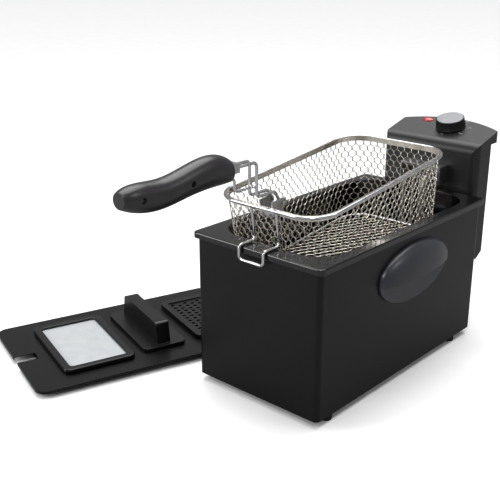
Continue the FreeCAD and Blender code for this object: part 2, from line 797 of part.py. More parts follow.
def cap_side(inset, back, low, ridge):
    """Side outline of the head's cap: an upright front, a round ridge and the sloping panel."""
    front = f"head_front + {inset}"
    deep = f"head_back_middle + {back} + 2"
    return [
        (front, low, "0"),
        (deep, low, "0"),
        (deep, panel_line(deep, inset), "0"),
        (front, panel_line(front, inset), ridge),
    ]


def build_head_casing():
    """Front shell, rear cover and sloping cap of the control head."""
    seam = "cap_seam - seam_gap"
    outside = head_form("LowerOutside", "0", "0", lower_side("0", seam))
    inside = head_form("LowerInside", "head_wall", "0", lower_side("head_wall", "cap_seam + 5"))
    tube = cut("LowerTube", outside, inside)
    wide = ("-head_half_x - 1", "head_half_x + 1")
    tall = ("head_bottom - 1", "cap_seam + 1")
    front = common("FrontHalf", tube, block("FrontZone", wide, ("head_front - 1", "split_y"), tall))
    rear = common("RearHalf", tube, block(
        "RearZone", wide, ("split_y + seam_gap", "head_back_middle + 2"), tall))

    root = "head_front + head_wall / 2"
    beyond = "head_back_middle - split_y + 2"
    boss_end = f"{bow_face('cover_screw_spread + cover_boss_radius')} - head_wall - 1"
    seat = f"{bow_face('cover_screw_spread')} - head_wall / 2"
    bosses, boss_bores, cover_holes, screws = [], [], [], []
    for index, (x, z) in enumerate(cover_screws()):
        start = (x, "split_y", z)
        bosses.append(rod(f"Boss{index}", "cover_boss_radius", (x, root, z),
                          f"{boss_end} - ({root})", (0, 1, 0)))
        boss_bores.append(rod(f"BossBore{index}", "cover_screw_radius + running_gap", start,
                              beyond, (0, 1, 0)))
        cover_holes.append(rod(f"CoverHole{index}", "cover_screw_radius + joint_gap", start,
                               beyond, (0, 1, 0)))
        cover_holes.append(rod(f"CoverSink{index}", "cover_screw_head_radius + joint_gap", (x, seat, z),
                               "head_wall + 6", (0, 1, 0)))
        shank = rod(f"CoverShank{index}", "cover_screw_radius", (x, "split_y + 1", z),
                    f"{seat} - split_y", (0, 1, 0))
        head = rod(f"CoverHead{index}", "cover_screw_head_radius", (x, f"{seat} + joint_gap / 2", z),
                   "cover_screw_head_height", (0, 1, 0))
        screws.append(fuse(f"CoverScrew{index}", shank, head))
    entry = [
        rod(f"LegHole{side}", "element_radius + joint_gap",
            (f"{side} * element_leg_spread", "head_front - 1", "element_high"), "head_wall + 2", (0, 1, 0))
        for side in (-1, 1)
    ]
    entry.append(rod("SensorHole", "sensor_radius + joint_gap", ("0", "head_front - 1", "element_high"),
                     "head_wall + 2", (0, 1, 0)))
    node("head_front_shell", cut("FrontShell", fuse("FrontWithBosses", front, *bosses), *boss_bores, *entry))
    gland_hole = rod("GlandHole", "gland_radius + joint_gap",
                     ("gland_x", "split_y + 1", "head_bottom + gland_height"), beyond, (0, 1, 0))
    reset_hole = rod("ResetHole", "reset_radius + running_gap",
                     ("reset_x", "split_y + 1", "head_bottom + reset_height"), beyond, (0, 1, 0))
    node("head_rear_cover", cut("RearCover", rear, gland_hole, reset_hole, *cover_holes))
    node("cover_screws", group("CoverScrews", screws))
    build_head_cap()


def bow_face(x):
    """How far back the head's bowed rear face stands at a distance x from its middle."""
    return f"bow_centre + sqrt(bow_radius ^ 2 - ({x}) ^ 2)"


def cover_screws():
    heights = ("head_bottom + cover_screw_low", "head_bottom + cover_screw_high")
    return [(f"{side} * cover_screw_spread", z) for side in (-1, 1) for z in heights]


def build_head_cap():
    """The cap that closes the head above and carries the dial and the lamp."""
    outside = head_form("CapOutside", "0", "0", cap_side("0", "0", "cap_seam", "cap_ridge_round"))
    lip = head_form("CapLip", "0", "lip_reach", lip_side("0"))
    inside = head_form("CapInside", "head_wall", "0",
                       cap_side("head_wall", "0", "cap_seam - 1", "cap_ridge_round - head_wall"))
    lip_inside = head_form("LipInside", "head_wall", "lip_reach", lip_side("head_wall"))
    solid = fuse("CapSolid", outside, lip)
    node("head_top_panel", cut("TopPanel", solid, inside, lip_inside, panel_holes()))


def lip_side(inset):
    """Side outline of the overhanging lip behind the panel."""
    low = f"{panel_line('head_back', 'lip_height')} + {inset}"
    deep = "head_back_middle + lip_reach + 2"
    return [
        ("head_back - lip_root", low, "0"),
        ("head_back_middle", low, "0"),
        (deep, f"{low} + lip_edge_rise", "0"),
        (deep, panel_line(deep, inset), "0"),
        ("head_back - lip_root", panel_line("head_back - lip_root", inset), "0"),
    ]


def panel_holes():
    """Holes square to the panel: dial shaft, thermostat screws and lamp stem."""
    depth = "cap_top_wall + 6"
    drills = [
        rod("ShaftHole", "shaft_radius + running_gap", ("0", "0", "-cap_top_wall - 3"), depth),
        rod("StemHole", "lens_stem_radius + joint_gap", ("lamp_x", "lamp_y", "-cap_top_wall - 3"), depth),
    ]
    for index, side in enumerate((-1, 1)):
        x = f"{side} * thermostat_screw_spread"
        drills.append(rod(f"PanelScrewHole{index}", "thermostat_screw_radius + joint_gap",
                          (x, "0", "-cap_top_wall - 3"), depth))
    holes = fuse("PanelHoles", *drills)
    bind_place(holes, *PLACES["panel"])
    return holes


def build_dial():
    """Knob, brushed cap and shaft turning as one, over the fixed thermostat."""
    base = "knob_float"
    skirt = doc.addObject("Part::Cone", "KnobSkirt")
    skirt.setExpression("Radius1", formula("knob_radius"))
    skirt.setExpression("Radius2", formula("knob_top_radius"))
    skirt.setExpression("Height", formula("knob_height"))
    skirt.setExpression("Placement.Base.z", formula(base))
    cap_low = f"{base} + knob_height - knob_cap_height"
    recess = rod("KnobRecess", "knob_cap_radius + joint_gap", ("0", "0", cap_low), "knob_cap_height + 1")
    bore = rod("KnobBore", "shaft_radius + running_gap", ("0", "0", f"{base} - 1"),
               "shaft_grip + 1 + joint_gap")
    node("thermostat_knob", cut("Knob", skirt, recess, bore), "panel")
    cap_seat = f"{cap_low} + joint_gap"
    cap = rod("KnobCap", "knob_cap_radius", ("0", "0", cap_seat), "knob_cap_height")
    raise_in_panel(node("knob_cap", cap), cap_seat)
    shaft_low = "-cap_top_wall - thermostat_drop - shaft_grip"
    shaft = rod("Shaft", "shaft_radius", ("0", "0", shaft_low), f"{base} + shaft_grip - ({shaft_low})")
    raise_in_panel(node("thermostat_shaft", shaft), shaft_low)
    build_thermostat(shaft_low)
    build_lamp()


def build_thermostat(shaft_low):
    """The thermostat's case under the panel, held by two screws beside the shaft."""
    top = "-cap_top_wall - thermostat_drop"
    case = block("ThermostatCase", ("-thermostat_width / 2", "thermostat_width / 2"),
                 ("-thermostat_front", "thermostat_back"), (f"{top} - thermostat_height", top))
    shaft_bore = rod("CaseBore", "shaft_radius + running_gap", ("0", "0", f"{shaft_low} - 1"),
                     "shaft_grip + 5")
    low = f"{top} - thermostat_screw_depth"
    screws, bores = [], []
    for index, side in enumerate((-1, 1)):
        x = f"{side} * thermostat_screw_spread"
        bores.append(rod(f"CaseScrewBore{index}", "thermostat_screw_radius + running_gap",
                         (x, "0", f"{low} - 1"), "thermostat_screw_depth + 3"))
        screws.append(rod(f"CaseScrew{index}", "thermostat_screw_radius", (x, "0", low),
                          "thermostat_screw_depth + thermostat_drop + cap_top_wall"))
    node("thermostat_body", cut("ThermostatBody", case, shaft_bore, *bores), "panel")
    node("thermostat_screws", group("ThermostatScrews", screws), "panel")


def build_lamp():
    """The oval lens on the panel and the neon tube lying under its stem."""
    dome = ellipsoid("LensDome", ("lens_half_x", "lens_half_y", "lens_rise"),
                     ("lamp_x", "lamp_y", "joint_gap"))
    above = block("LensZone", ("lamp_x - lens_half_x - 1", "lamp_x + lens_half_x + 1"),
                  ("lamp_y - lens_half_y - 1", "lamp_y + lens_half_y + 1"), ("joint_gap", "lens_rise + 2"))
    stem = rod("LensStem", "lens_stem_radius", ("lamp_x", "lamp_y", "-lens_stem_length"),
               "lens_stem_length + joint_gap + lens_rise / 2")
    node("pilot_lamp_lens", fuse("Lens", common("LensTop", dome, above), stem), "panel")
    bulb = rod("NeonTube", "neon_radius",
               ("lamp_x", "lamp_y + neon_radius", "-lens_stem_length - seat_gap - neon_radius"),
               "neon_length", (0, -1, 0))
    node("neon_lamp", group("Neon", [bulb]), "panel")


def raise_in_panel(item, height):
    """Set a round piece on the dial's axis, a height above the panel."""
    bind_place(item, (
        "knob_x", f"knob_y - ({height}) * sin(panel_slope)", f"knob_z + ({height}) * cos(panel_slope)"),
        (1, 0, 0), "panel_slope")


def build_head_insides():
    """What the head holds: guide, safety cut-out, switch, terminals and cord gland."""
    tall = ("head_bottom + guide_margin", "rail_top + guide_margin")
    behind = "rail_face + slide_gap"
    flange_side = "rail_flange_half + slide_gap"
    front_of_flange = "rail_face - rail_flange_wall - slide_gap"
    lip_front = f"{front_of_flange} - guide_wall"
    wide = f"{flange_side} + guide_wall"
    back_plate = block("GuideBack", (f"-({wide})", wide), (behind, "head_front - joint_gap"), tall)
    cheeks = []
    for side in (-1, 1):
        near, far = f"{side} * ({flange_side})", f"{side} * ({wide})"
        lip_edge = f"{side} * (rail_web_half + slide_gap)"
        cheeks.append(block(f"GuideCheek{side}", ordered(side, near, far),
                            (lip_front, "head_front - joint_gap"), tall))
        cheeks.append(block(f"GuideLip{side}", ordered(side, lip_edge, far),
                            (lip_front, front_of_flange), tall))
    node("head_guide", fuse("HeadGuide", back_plate, *cheeks))

    inner_front = "head_front + head_wall + joint_gap"
    reset_z = "head_bottom + reset_height"
    button_end = f"{bow_face('reset_x')} + reset_proud"
    button_start = f"{button_end} - reset_length"
    stem = rod("ResetStem", "reset_radius", ("reset_x", button_start, reset_z), "reset_length", (0, 1, 0))
    node("reset_button", stem)
    cutout_face = f"{button_start} - cutout_gap"
    disc = rod("CutoutDisc", "cutout_radius", ("reset_x", f"{cutout_face} - cutout_depth", reset_z),
               "cutout_depth", (0, 1, 0))
    node("thermal_cutout", disc)

    gland_z = "head_bottom + gland_height"
    gland_face = f"{bow_face('gland_x')} - head_wall"
    barrel = rod("GlandBarrel", "gland_radius", ("gland_x", f"{gland_face} - gland_tail", gland_z),
                 "gland_tail + head_wall + gland_reach", (0, 1, 0))
    collar = rod("GlandCollar", "gland_flange_radius",
                 ("gland_x", f"{gland_face} - gland_collar_setback - gland_collar_wall", gland_z),
                 "gland_collar_wall", (0, 1, 0))
    passage = rod("GlandPassage", "gland_bore", ("gland_x", f"{gland_face} - gland_tail - 1", gland_z),
                  "gland_tail + head_wall + gland_reach + 2", (0, 1, 0))
    node("cord_gland", cut("CordGland", fuse("GlandSolid", barrel, collar), passage))

    switch_low = "rail_top - switch_drop"
    node("interlock_switch", block(
        "InterlockSwitch", ("-switch_width / 2", "switch_width / 2"),
        (inner_front, f"{inner_front} + switch_depth"), (switch_low, f"{switch_low} + switch_height")))
    block_low = "head_bottom + block_rise"
    block_front = f"{inner_front} + switch_depth + block_gap"
    node("terminal_block", block(
        "TerminalBlock", ("-block_width / 2", "block_width / 2"),
        (block_front, f"{block_front} + block_depth"), (block_low, f"{block_low} + block_height")))


def build_element():
    """The sheathed element: over the rim, down the back wall and round the pot's floor."""
    leg, low, high = value("element_leg_spread"), value("element_low"), value("element_high")
    leg_y, front = value("element_leg_y"), value("element_front")
    outer, inner = value("element_outer"), value("element_inner")
    back_row = leg_y - value("element_row_step")
    turn_row = back_row - value("element_row_step")
    start = value("head_front + head_wall + element_tail")
    half = [
        (leg, start, high), (leg, leg_y, high), (leg, leg_y, low), (leg, back_row, low),
        (outer, back_row, low), (outer, front, low), (inner, front, low), (inner, turn_row, low),
    ]
    route = half + [(-x, y, z) for x, y, z in reversed(half)]
    spots = [FreeCAD.Vector(*spot) for spot in route]
    bends = [value("element_bend")] * (len(spots) - 2)
    wire_node("heating_element", bent_wire(spots, bends, value("element_radius")))
    build_element_fixing()
    build_sensor(start, high, leg_y + value("sensor_leg_shift"), turn_row, low + value("bulb_rise"))


def build_element_fixing():
    """The sheet bracket on the head's front and the nuts behind it that hold the element's ends."""
    face = "head_front - joint_gap"
    deep = (f"{face} - bracket_reach", face)
    low_z, high_z = "rim_top + bracket_low", "rim_top + bracket_high"
    wide = ("-bracket_half", "bracket_half")
    back = block("BracketBack", wide, (f"{face} - bracket_sheet", face), (low_z, high_z))
    roof = block("BracketRoof", wide, deep, (f"{high_z} - bracket_sheet", high_z))
    cheeks = [
        block(f"BracketSide{side}",
              ordered(side, f"{side} * (bracket_half - bracket_sheet)", f"{side} * bracket_half"),
              deep, (low_z, high_z))
        for side in (-1, 1)
    ]
    drill_start, drill_length = f"{face} - bracket_sheet - 1", "bracket_sheet + 2"
    holes = [
        rod(f"BracketLegHole{side}", "element_radius + joint_gap",
            (f"{side} * element_leg_spread", drill_start, "element_high"), drill_length, (0, 1, 0))
        for side in (-1, 1)
    ]
    holes.append(rod("BracketSensorHole", "sensor_radius + joint_gap",
                     ("0", drill_start, "element_high"), drill_length, (0, 1, 0)))
    node("element_bracket", cut("ElementBracket", fuse("BracketSolid", back, roof, *cheeks), *holes))

    seat = "head_front + head_wall + joint_gap"
    tall = ("element_high - element_nut_half", "element_high + element_nut_half")
    nuts = []
    for side in (-1, 1):
        x = f"{side} * element_leg_spread"
        nut = block(f"NutBlank{side}", (f"{x} - element_nut_half", f"{x} + element_nut_half"),
                    (seat, f"{seat} + element_nut_height"), tall)
        bore = rod(f"NutBore{side}", "element_radius + joint_gap", (x, f"{seat} - 1", "element_high"),
                   "element_nut_height + 2", (0, 1, 0))
        nuts.append(cut(f"Nut{side}", nut, bore))
    node("element_nuts", group("ElementNuts", nuts))


def build_sensor(start, high, leg_y, turn_row, bulb_z):
    """The thermostat's capillary, its bulb above the element's inner runs and the clip that holds it."""
    bulb_start = turn_row - value("bulb_setback")
    spots = [
        FreeCAD.Vector(0, start, high), FreeCAD.Vector(0, leg_y, high),
        FreeCAD.Vector(0, leg_y, bulb_z), FreeCAD.Vector(0, bulb_start, bulb_z),
    ]
    wire_node("sensor_tube", bent_wire(spots, [value("sensor_bend")] * 2, value("sensor_radius")))
    bulb_end = FreeCAD.Vector(0, bulb_start - value("joint_gap"), bulb_z)
    bulb = Part.makeCylinder(value("bulb_radius"), value("bulb_length"), bulb_end, FreeCAD.Vector(0, -1, 0))
    wire_node("sensor_bulb", bulb)
    wire_node("sensor_clip", clip_shape(bulb_start - value("bulb_length") / 2, value("element_low"), bulb_z))


def clip_shape(y, z, bulb_z):
    """A folded strip that holds the bulb over and between the two inner runs of the element."""
    wall, width, inner = value("clip_wall"), value("clip_width"), value("element_inner")
    tube = value("element_radius + joint_gap")
    bulb = value("bulb_radius + joint_gap")
    start = y - width / 2

    def ring(x, height, radius):
        centre = FreeCAD.Vector(x, start, height)
        along = FreeCAD.Vector(0, 1, 0)
        return [Part.makeCylinder(size, width, centre, along) for size in (radius + wall, radius)]

    solids, holes = zip(ring(-inner, z, tube), ring(inner, z, tube), ring(0, bulb_z, bulb))
    strip = Part.makeBox(2 * inner, width, wall, FreeCAD.Vector(-inner, start, z + tube))
    joined = strip.fuse(list(solids))
    return joined.cut(Part.makeCompound(list(holes)))


# ---------------------------------------------------------------- basket

def basket_point(x, y, z):
    """A point of the tilted basket, given in the basket's own level frame."""
    tilt = math.radians(value("basket_tilt"))
    return FreeCAD.Vector(
        x,
        value("basket_y") + y * math.cos(tilt) - z * math.sin(tilt),
        value("basket_z") + y * math.sin(tilt) + z * math.cos(tilt))


def rounded_ring(half_x, half_y, z, corner, radius):
    """A closed wire hoop with round corners, lying level."""
    edges = []
    first = FreeCAD.Vector(0, -half_y, z)
    previous = first
    for index, (sx, sy) in enumerate(((1, -1), (1, 1), (-1, 1), (-1, -1))):
        centre = FreeCAD.Vector(sx * (half_x - corner), sy * (half_y - corner), z)
        angles = [math.radians(90 * index - 90 + step) for step in (0, 45, 90)]
        spots = [centre + FreeCAD.Vector(math.cos(a), math.sin(a), 0) * corner for a in angles]
        edges.append(Part.LineSegment(previous, spots[0]).toShape())
        edges.append(Part.Arc(*spots).toShape())
        previous = spots[2]
    edges.append(Part.LineSegment(previous, first).toShape())
    profile = Part.Wire([Part.Circle(first, FreeCAD.Vector(1, 0, 0), radius).toShape()])
    return Part.Wire(edges).makePipeShell([profile], True, False)


def build_basket():
    """The mesh tub on its rim and base wires, the drain hook and the handle's bracket."""
    top, bottom = "rim_wire_radius", "-basket_depth"
    outer = loft_between("MeshOuter", bottom,
                         centred("mesh_half_x - basket_taper", "mesh_half_y - basket_taper", "mesh_corner"),
                         top, centred("mesh_half_x", "mesh_half_y", "mesh_corner"))
    inner = loft_between("MeshInner", f"{bottom} + mesh_wall",
                         centred("mesh_half_x - basket_taper - mesh_wall",
                                 "mesh_half_y - basket_taper - mesh_wall", "mesh_corner - mesh_wall"),
                         f"{top} + 0.01", centred("mesh_half_x - mesh_wall", "mesh_half_y - mesh_wall",
                                                  "mesh_corner - mesh_wall"))
    node("basket_mesh", cut("BasketMesh", outer, inner), "basket")

    wire = value("rim_wire_radius")
    ring = rounded_ring(value("basket_half_x") - wire, value("basket_half_y") - wire, 0,
                        value("basket_corner") - wire, wire)
    wire_node("basket_rim_wire", ring, "basket")
    base = value("base_wire_radius")
    taper = value("basket_taper")
    out = base + value("joint_gap") - taper + taper * 2 * base / value("basket_depth")
    ring = rounded_ring(value("mesh_half_x") + out, value("mesh_half_y") + out, -value("basket_depth") + base,
                        value("mesh_corner") + base, base)
    wire_node("basket_base_wire", ring, "basket")

    hook = value("hook_radius")
    gap = value("joint_gap")
    x = value("hook_half")
    slope = taper / value("basket_depth")
    wall_y = -value("mesh_half_y") - hook - gap
    leg_top = basket_point(x, wall_y, -wire - gap)
    over_z = value("rim_top + seat_gap") + hook
    drop = (leg_top.z - over_z) / math.cos(math.radians(value("basket_tilt")))
    leg_low = basket_point(x, wall_y + slope * drop, -wire - gap - drop)
    leg_low.z = over_z
    out_y = -value("rim_half_y + hook_clear") - hook
    side = [leg_top, leg_low, FreeCAD.Vector(x, out_y, over_z),
            FreeCAD.Vector(x, out_y, value("rim_top - hook_drop"))]
    other = [FreeCAD.Vector(-spot.x, spot.y, spot.z) for spot in reversed(side)]
    wire_node("drain_hook", bent_wire(side + other, [value("hook_bend")] * 6, hook))

    build_handle_bracket()


def build_handle_bracket():
    """A U of sheet inside the basket's front wall, its cheeks drilled for the handle's ends."""
    half = "cheek_gap / 2"
    outside = f"{half} + cheek_wall"
    slant = "basket_taper * cheek_drop / basket_depth"
    plate_y = f"mesh_wall + {slant} + 3 * joint_gap - mesh_half_y"
    plate = block("BracketPlate", (f"-({outside})", outside), (plate_y, f"{plate_y} + cheek_wall"),
                  ("-cheek_drop", "pivot_rise"))
    cheeks = []
    for side in (-1, 1):
        span = ordered(side, f"{side} * ({half})", f"{side} * ({outside})")
        cheeks.append(block(f"Cheek{side}", span, (plate_y, "pivot_local_y"),
                            ("-cheek_drop", "pivot_rise + cheek_radius")))
        cheeks.append(rod(f"CheekEnd{side}", "cheek_radius", (span[0], "pivot_local_y", "pivot_rise"),
                          "cheek_wall", (1, 0, 0)))
    bore = rod("PivotBore", "handle_wire_radius + running_gap",
               (f"-({outside}) - 1", "pivot_local_y", "pivot_rise"), f"2 * ({outside}) + 2", (1, 0, 0))
    wire_notch = block("WireNotch", (f"0.01 - ({half})", f"{half} - 0.01"),
                       (f"{plate_y} - 1", f"{plate_y} + cheek_wall + 1"), ("-1", "pivot_rise + 1"))
    solid = fuse("BracketForm", plate, *cheeks)
    node("handle_bracket", cut("HandleBracket", solid, bore, wire_notch), "basket")


def build_basket_handle():
    """Two sprung wires, a brace and a moulded grip in two halves; it folds about the bracket."""
    radius, half = value("handle_wire_radius"), value("handle_wire_half")
    rise, knee = value("handle_rise"), value("handle_knee")
    reach, inset = value("handle_reach"), value("handle_knee_inset")
    inner_end = -value("grip_start + grip_wire_depth")
    pin_end = value("cheek_gap / 2 + cheek_wall + pin_length")
    bends = [value("handle_wire_bend")] * 3 + [value("1.2 * handle_wire_radius")]
    for side, word in ((-1, "left"), (1, "right")):
        spots = [
            FreeCAD.Vector(side * half, inner_end, rise), FreeCAD.Vector(side * half, -reach, rise),
            FreeCAD.Vector(side * half, -reach, knee), FreeCAD.Vector(side * half, -inset, knee),
            FreeCAD.Vector(side * half, 0, 0), FreeCAD.Vector(side * pin_end, 0, 0),
        ]
        wire_node(f"handle_wire_{word}", bent_wire(spots, bends, radius), "handle")

    brace = value("brace_radius")
    back, top, low = -value("brace_back"), value("brace_top"), value("brace_low")
    spots = [FreeCAD.Vector(0, -value("grip_start + brace_depth"), top), FreeCAD.Vector(0, back, top),
             FreeCAD.Vector(0, back, low), FreeCAD.Vector(0, -reach, low)]
    stay = bent_wire(spots, [value("handle_wire_bend")] * 2, brace)
    cross_half = half - radius - value("joint_gap")
    cross = Part.makeCylinder(brace, 2 * cross_half, FreeCAD.Vector(-cross_half, -reach, low),
                              FreeCAD.Vector(1, 0, 0))
    wire_node("catch_brace", stay.fuse(cross).removeSplitter(), "handle")
    build_grip()


GRIP_STATIONS = (
    # share of the grip's length from its front, middle above the wires in mm,
    # shares of the grip's full height and width
    (0.000, -2.0, 0.753, 0.846),
    (0.200, 1.8, 1.000, 1.000),
    (0.410, -1.7, 0.928, 0.985),
    (0.640, -6.5, 0.892, 0.963),
    (0.850, -4.8, 0.855, 0.926),
    (0.955, -3.2, 0.663, 0.794),
    (1.000, -3.0, 0.494, 0.588),
)


def oval(y, z, half_high, half_wide):
    """An oval outline square to the grip's length, starting from its top whichever way it is longer."""
    centre = FreeCAD.Vector(0, y, z)
    above, beside = FreeCAD.Vector(0, 0, half_high), FreeCAD.Vector(half_wide, 0, 0)
    if half_high >= half_wide:
        curve, start = Part.Ellipse(centre + above, centre + beside, centre), 0
    else:
        curve, start = Part.Ellipse(centre + beside, centre - above, centre), -math.pi / 2
    return Part.Wire([Part.ArcOfEllipse(curve, start, start + 2 * math.pi).toShape()])


def build_grip():
    """Grip halves left and right of a middle seam, pinned together, with a ferrule in front."""
    start, length, rise = value("grip_start"), value("grip_length"), value("handle_rise")
    half_height, half_width = value("grip_height / 2"), value("grip_width / 2")
    outlines = [
        oval(-start - share * length, rise + above, high * half_height, wide * half_width)
        for share, above, high, wide in GRIP_STATIONS
    ]
    form = doc.addObject("Part::Feature", "GripForm")
    form.Shape = Part.makeLoft(outlines, True)

    cavities = [
        rod(f"WireBore{side}", "handle_wire_radius + joint_gap",
            (f"{side} * handle_wire_half", "-grip_start - grip_wire_depth - 1", "handle_rise"),
            "grip_wire_depth + 3", (0, 1, 0))
        for side in (-1, 1)
    ]
    cavities.append(rod("BraceBore", "brace_radius + joint_gap",
                        ("0", "-grip_start - brace_depth - 1", "brace_top"), "brace_depth + 3", (0, 1, 0)))
    shank_half = "grip_pin_seat - joint_gap"
    pins = []
    for index, (share, above) in enumerate(((0.42, -2.0), (0.86, -4.8))):
        y, z = f"-grip_start - {share} * grip_length", f"handle_rise + {above}"
        cavities.append(rod(f"PinBore{index}", "grip_pin_radius + joint_gap",
                            (f"-({shank_half}) - 0.5", y, z), f"2 * ({shank_half}) + 2", (1, 0, 0)))
        cavities.append(rod(f"PinSink{index}", "grip_pin_head + joint_gap", (shank_half, y, z),
                            "grip_width", (1, 0, 0)))
        shank = rod(f"PinShank{index}", "grip_pin_radius", (f"-({shank_half})", y, z),
                    f"2 * ({shank_half}) + 0.5", (1, 0, 0))
        head = rod(f"PinHead{index}", "grip_pin_head", ("grip_pin_seat", y, z),
                   "grip_pin_head_height", (1, 0, 0))
        pins.append(fuse(f"GripPin{index}", shank, head))
    reach = "grip_height + grip_width"
    for side, word in ((-1, "left"), (1, "right")):
        zone = block(f"GripZone_{word}", ordered(side, f"{side} * seam_gap / 2", f"{side} * grip_width"),
                     ("-grip_end - 1", "1 - grip_start"),
                     (f"handle_rise - ({reach})", f"handle_rise + {reach}"))
        half = common(f"GripHalf_{word}", form, zone)
        node(f"grip_{word}", cut(f"Grip_{word}", half, *cavities), "handle")
    node("grip_screws", group("GripScrews", pins), "handle")

    front = "-grip_start + joint_gap"
    ferrule = block("FerruleBlank",
                    ("-handle_wire_half - ferrule_border", "handle_wire_half + ferrule_border"),
                    (front, f"{front} + ferrule_length"),
                    ("handle_rise - ferrule_border", "handle_rise + ferrule_border + 1"))
    holes = [
        rod(f"FerruleHole{side}", "handle_wire_radius + joint_gap",
            (f"{side} * handle_wire_half", "-grip_start - 1", "handle_rise"), "ferrule_length + 3", (0, 1, 0))
        for side in (-1, 1)
    ]
    node("grip_ferrule", cut("GripFerrule", ferrule, *holes), "handle")


# ---------------------------------------------------------------- lid

def lid_zone(front, length):
    """The y span of something that starts a distance from the lid's front edge."""
    return (f"{front} - lid_half_y", f"{front} + {length} - lid_half_y")


def build_lid():
    """A shallow steel lid with a window, a bar handle and a filtered vent."""
    outer = prism("LidOuter", "XY", "lid_height - lid_edge_depth", "lid_edge_depth",
                  centred("lid_half_x", "lid_half_y", "lid_corner"))
    under = prism("LidUnder", "XY", "-1", "lid_height - lid_sheet + 1",
                  centred("lid_half_x - lid_sheet", "lid_half_y - lid_sheet", "lid_corner - lid_sheet"))
    ring_y = ("lid_ring_front - lid_half_y", "lid_half_y - lid_ring_back")
    ring_half = "pot_half_x - lid_ring_gap"
    ring_outer = prism("LidRingOuter", "XY", "0", "lid_height - lid_sheet / 2",
                       rectangle((f"-({ring_half})", ring_half), ring_y, "pot_corner - lid_ring_gap"))
    ring_inner = prism("LidRingInner", "XY", "-1", "lid_height - lid_sheet + 1",
                       rectangle((f"lid_sheet - ({ring_half})", f"{ring_half} - lid_sheet"),
                                 (f"{ring_y[0]} + lid_sheet", f"{ring_y[1]} - lid_sheet"),
                                 "pot_corner - lid_ring_gap - lid_sheet"))
    notch = block("LidNotch", ("-notch_width / 2", "notch_width / 2"),
                  ("-lid_half_y - 1", "notch_depth - lid_half_y"), ("-1", "lid_height + 1"))
    window_y = lid_zone("window_front", "window_length")
    vent_y = lid_zone("vent_front", "vent_length")
    pane_half = "window_width / 2 - window_border"
    pane_y = (f"{window_y[0]} + window_border", f"{window_y[1]} - window_border")
    hole = block("WindowHole", (f"-({pane_half})", pane_half), pane_y, ("-1", "lid_height + 1"))
    vent_hole = block("VentHole",
                      ("vent_opening_inset - vent_width / 2", "vent_width / 2 - vent_opening_inset"),
                      (f"{vent_y[0]} + vent_opening_inset", f"{vent_y[1]} - vent_opening_inset"),
                      ("-1", "lid_height + 1"))
    handle_y = "lid_grip_front + lid_grip_length / 2 - lid_half_y"
    post_x = "lid_bar_length / 2 - lid_bar_slant - lid_bar_width / 2"
    screw_holes = [
        rod(f"LidScrewHole{side}", "lid_screw_radius + joint_gap", (f"{side} * ({post_x})", handle_y, "-1"),
            "lid_height + 2")
        for side in (-1, 1)
    ]
    sheet = cut("LidSheet", outer, under)
    ring = cut("LidRing", ring_outer, ring_inner)
    form = fuse("LidForm", sheet, ring)
    node("lid_plate", cut("LidPlate", form, notch, hole, vent_hole, *screw_holes), "lid")

    frame = prism("FrameBlank", "XY", "plate_top", "window_frame_height",
                  rectangle(("-window_width / 2", "window_width / 2"), window_y, "window_corner"))
    sight = prism("FrameSight", "XY", "lid_height - 1", "window_frame_height + 3",
                  rectangle((f"-({pane_half})", pane_half), pane_y, "window_corner / 2"))
    rebate_half = f"{pane_half} + glass_overlap + joint_gap"
    rebate = block("FrameRebate", (f"-({rebate_half})", rebate_half),
                   (f"{pane_y[0]} - glass_overlap - joint_gap", f"{pane_y[1]} + glass_overlap + joint_gap"),
                   ("lid_height - 1", "plate_top + glass_thickness + 2 * joint_gap"))
    node("lid_window_frame", cut("WindowFrame", frame, sight, rebate), "lid")
    pane = block("WindowPane", (f"-({pane_half}) - glass_overlap", f"{pane_half} + glass_overlap"),
                 (f"{window_y[0]} + window_border - glass_overlap",
                  f"{window_y[1]} - window_border + glass_overlap"),
                 ("plate_top", "plate_top + glass_thickness"))
    node("lid_window_glass", group("WindowGlass", [pane]), "lid")

    build_lid_handle(handle_y, post_x)
    build_lid_vent(vent_y)


def build_lid_handle(handle_y, post_x):
    """A plastic base with an upright bar to pinch, screwed on from below."""
    base = prism("LidGripBase", "XY", "plate_top", "lid_grip_base",
                 rectangle(("-lid_grip_width / 2", "lid_grip_width / 2"),
                           lid_zone("lid_grip_front", "lid_grip_length"), "lid_grip_corner"))
    low, top = "plate_top + lid_grip_base / 2", "plate_top + lid_grip_height"
    foot, crown = "lid_bar_length / 2", "lid_bar_length / 2 - lid_bar_slant"
    bar = wall_prism("LidBar", f"{handle_y} - lid_bar_width / 2", "lid_bar_width", [
        (f"-({foot})", low, "0"),
        (foot, low, "0"),
        (crown, top, "lid_bar_corner"),
        (f"-({crown})", top, "lid_bar_corner"),
    ])
    seat = "lid_height - lid_sheet - joint_gap"
    bores, screws = [], []
    for side in (-1, 1):
        x = f"{side} * ({post_x})"
        bores.append(rod(f"LidScrewBore{side}", "lid_screw_radius + running_gap",
                         (x, handle_y, "lid_height - 1"), "lid_screw_depth + 3"))
        shank = rod(f"LidShank{side}", "lid_screw_radius", (x, handle_y, seat), "lid_sheet + lid_screw_depth")
        head = rod(f"LidScrewHead{side}", "lid_screw_head_radius",
                   (x, handle_y, f"{seat} - lid_screw_head_height"), "lid_screw_head_height")
        screws.append(fuse(f"LidScrew{side}", shank, head))
    node("lid_handle", cut("LidHandle", fuse("LidHandleSolid", base, bar), *bores), "lid")
    node("lid_handle_screws", group("LidHandleScrews", screws), "lid")


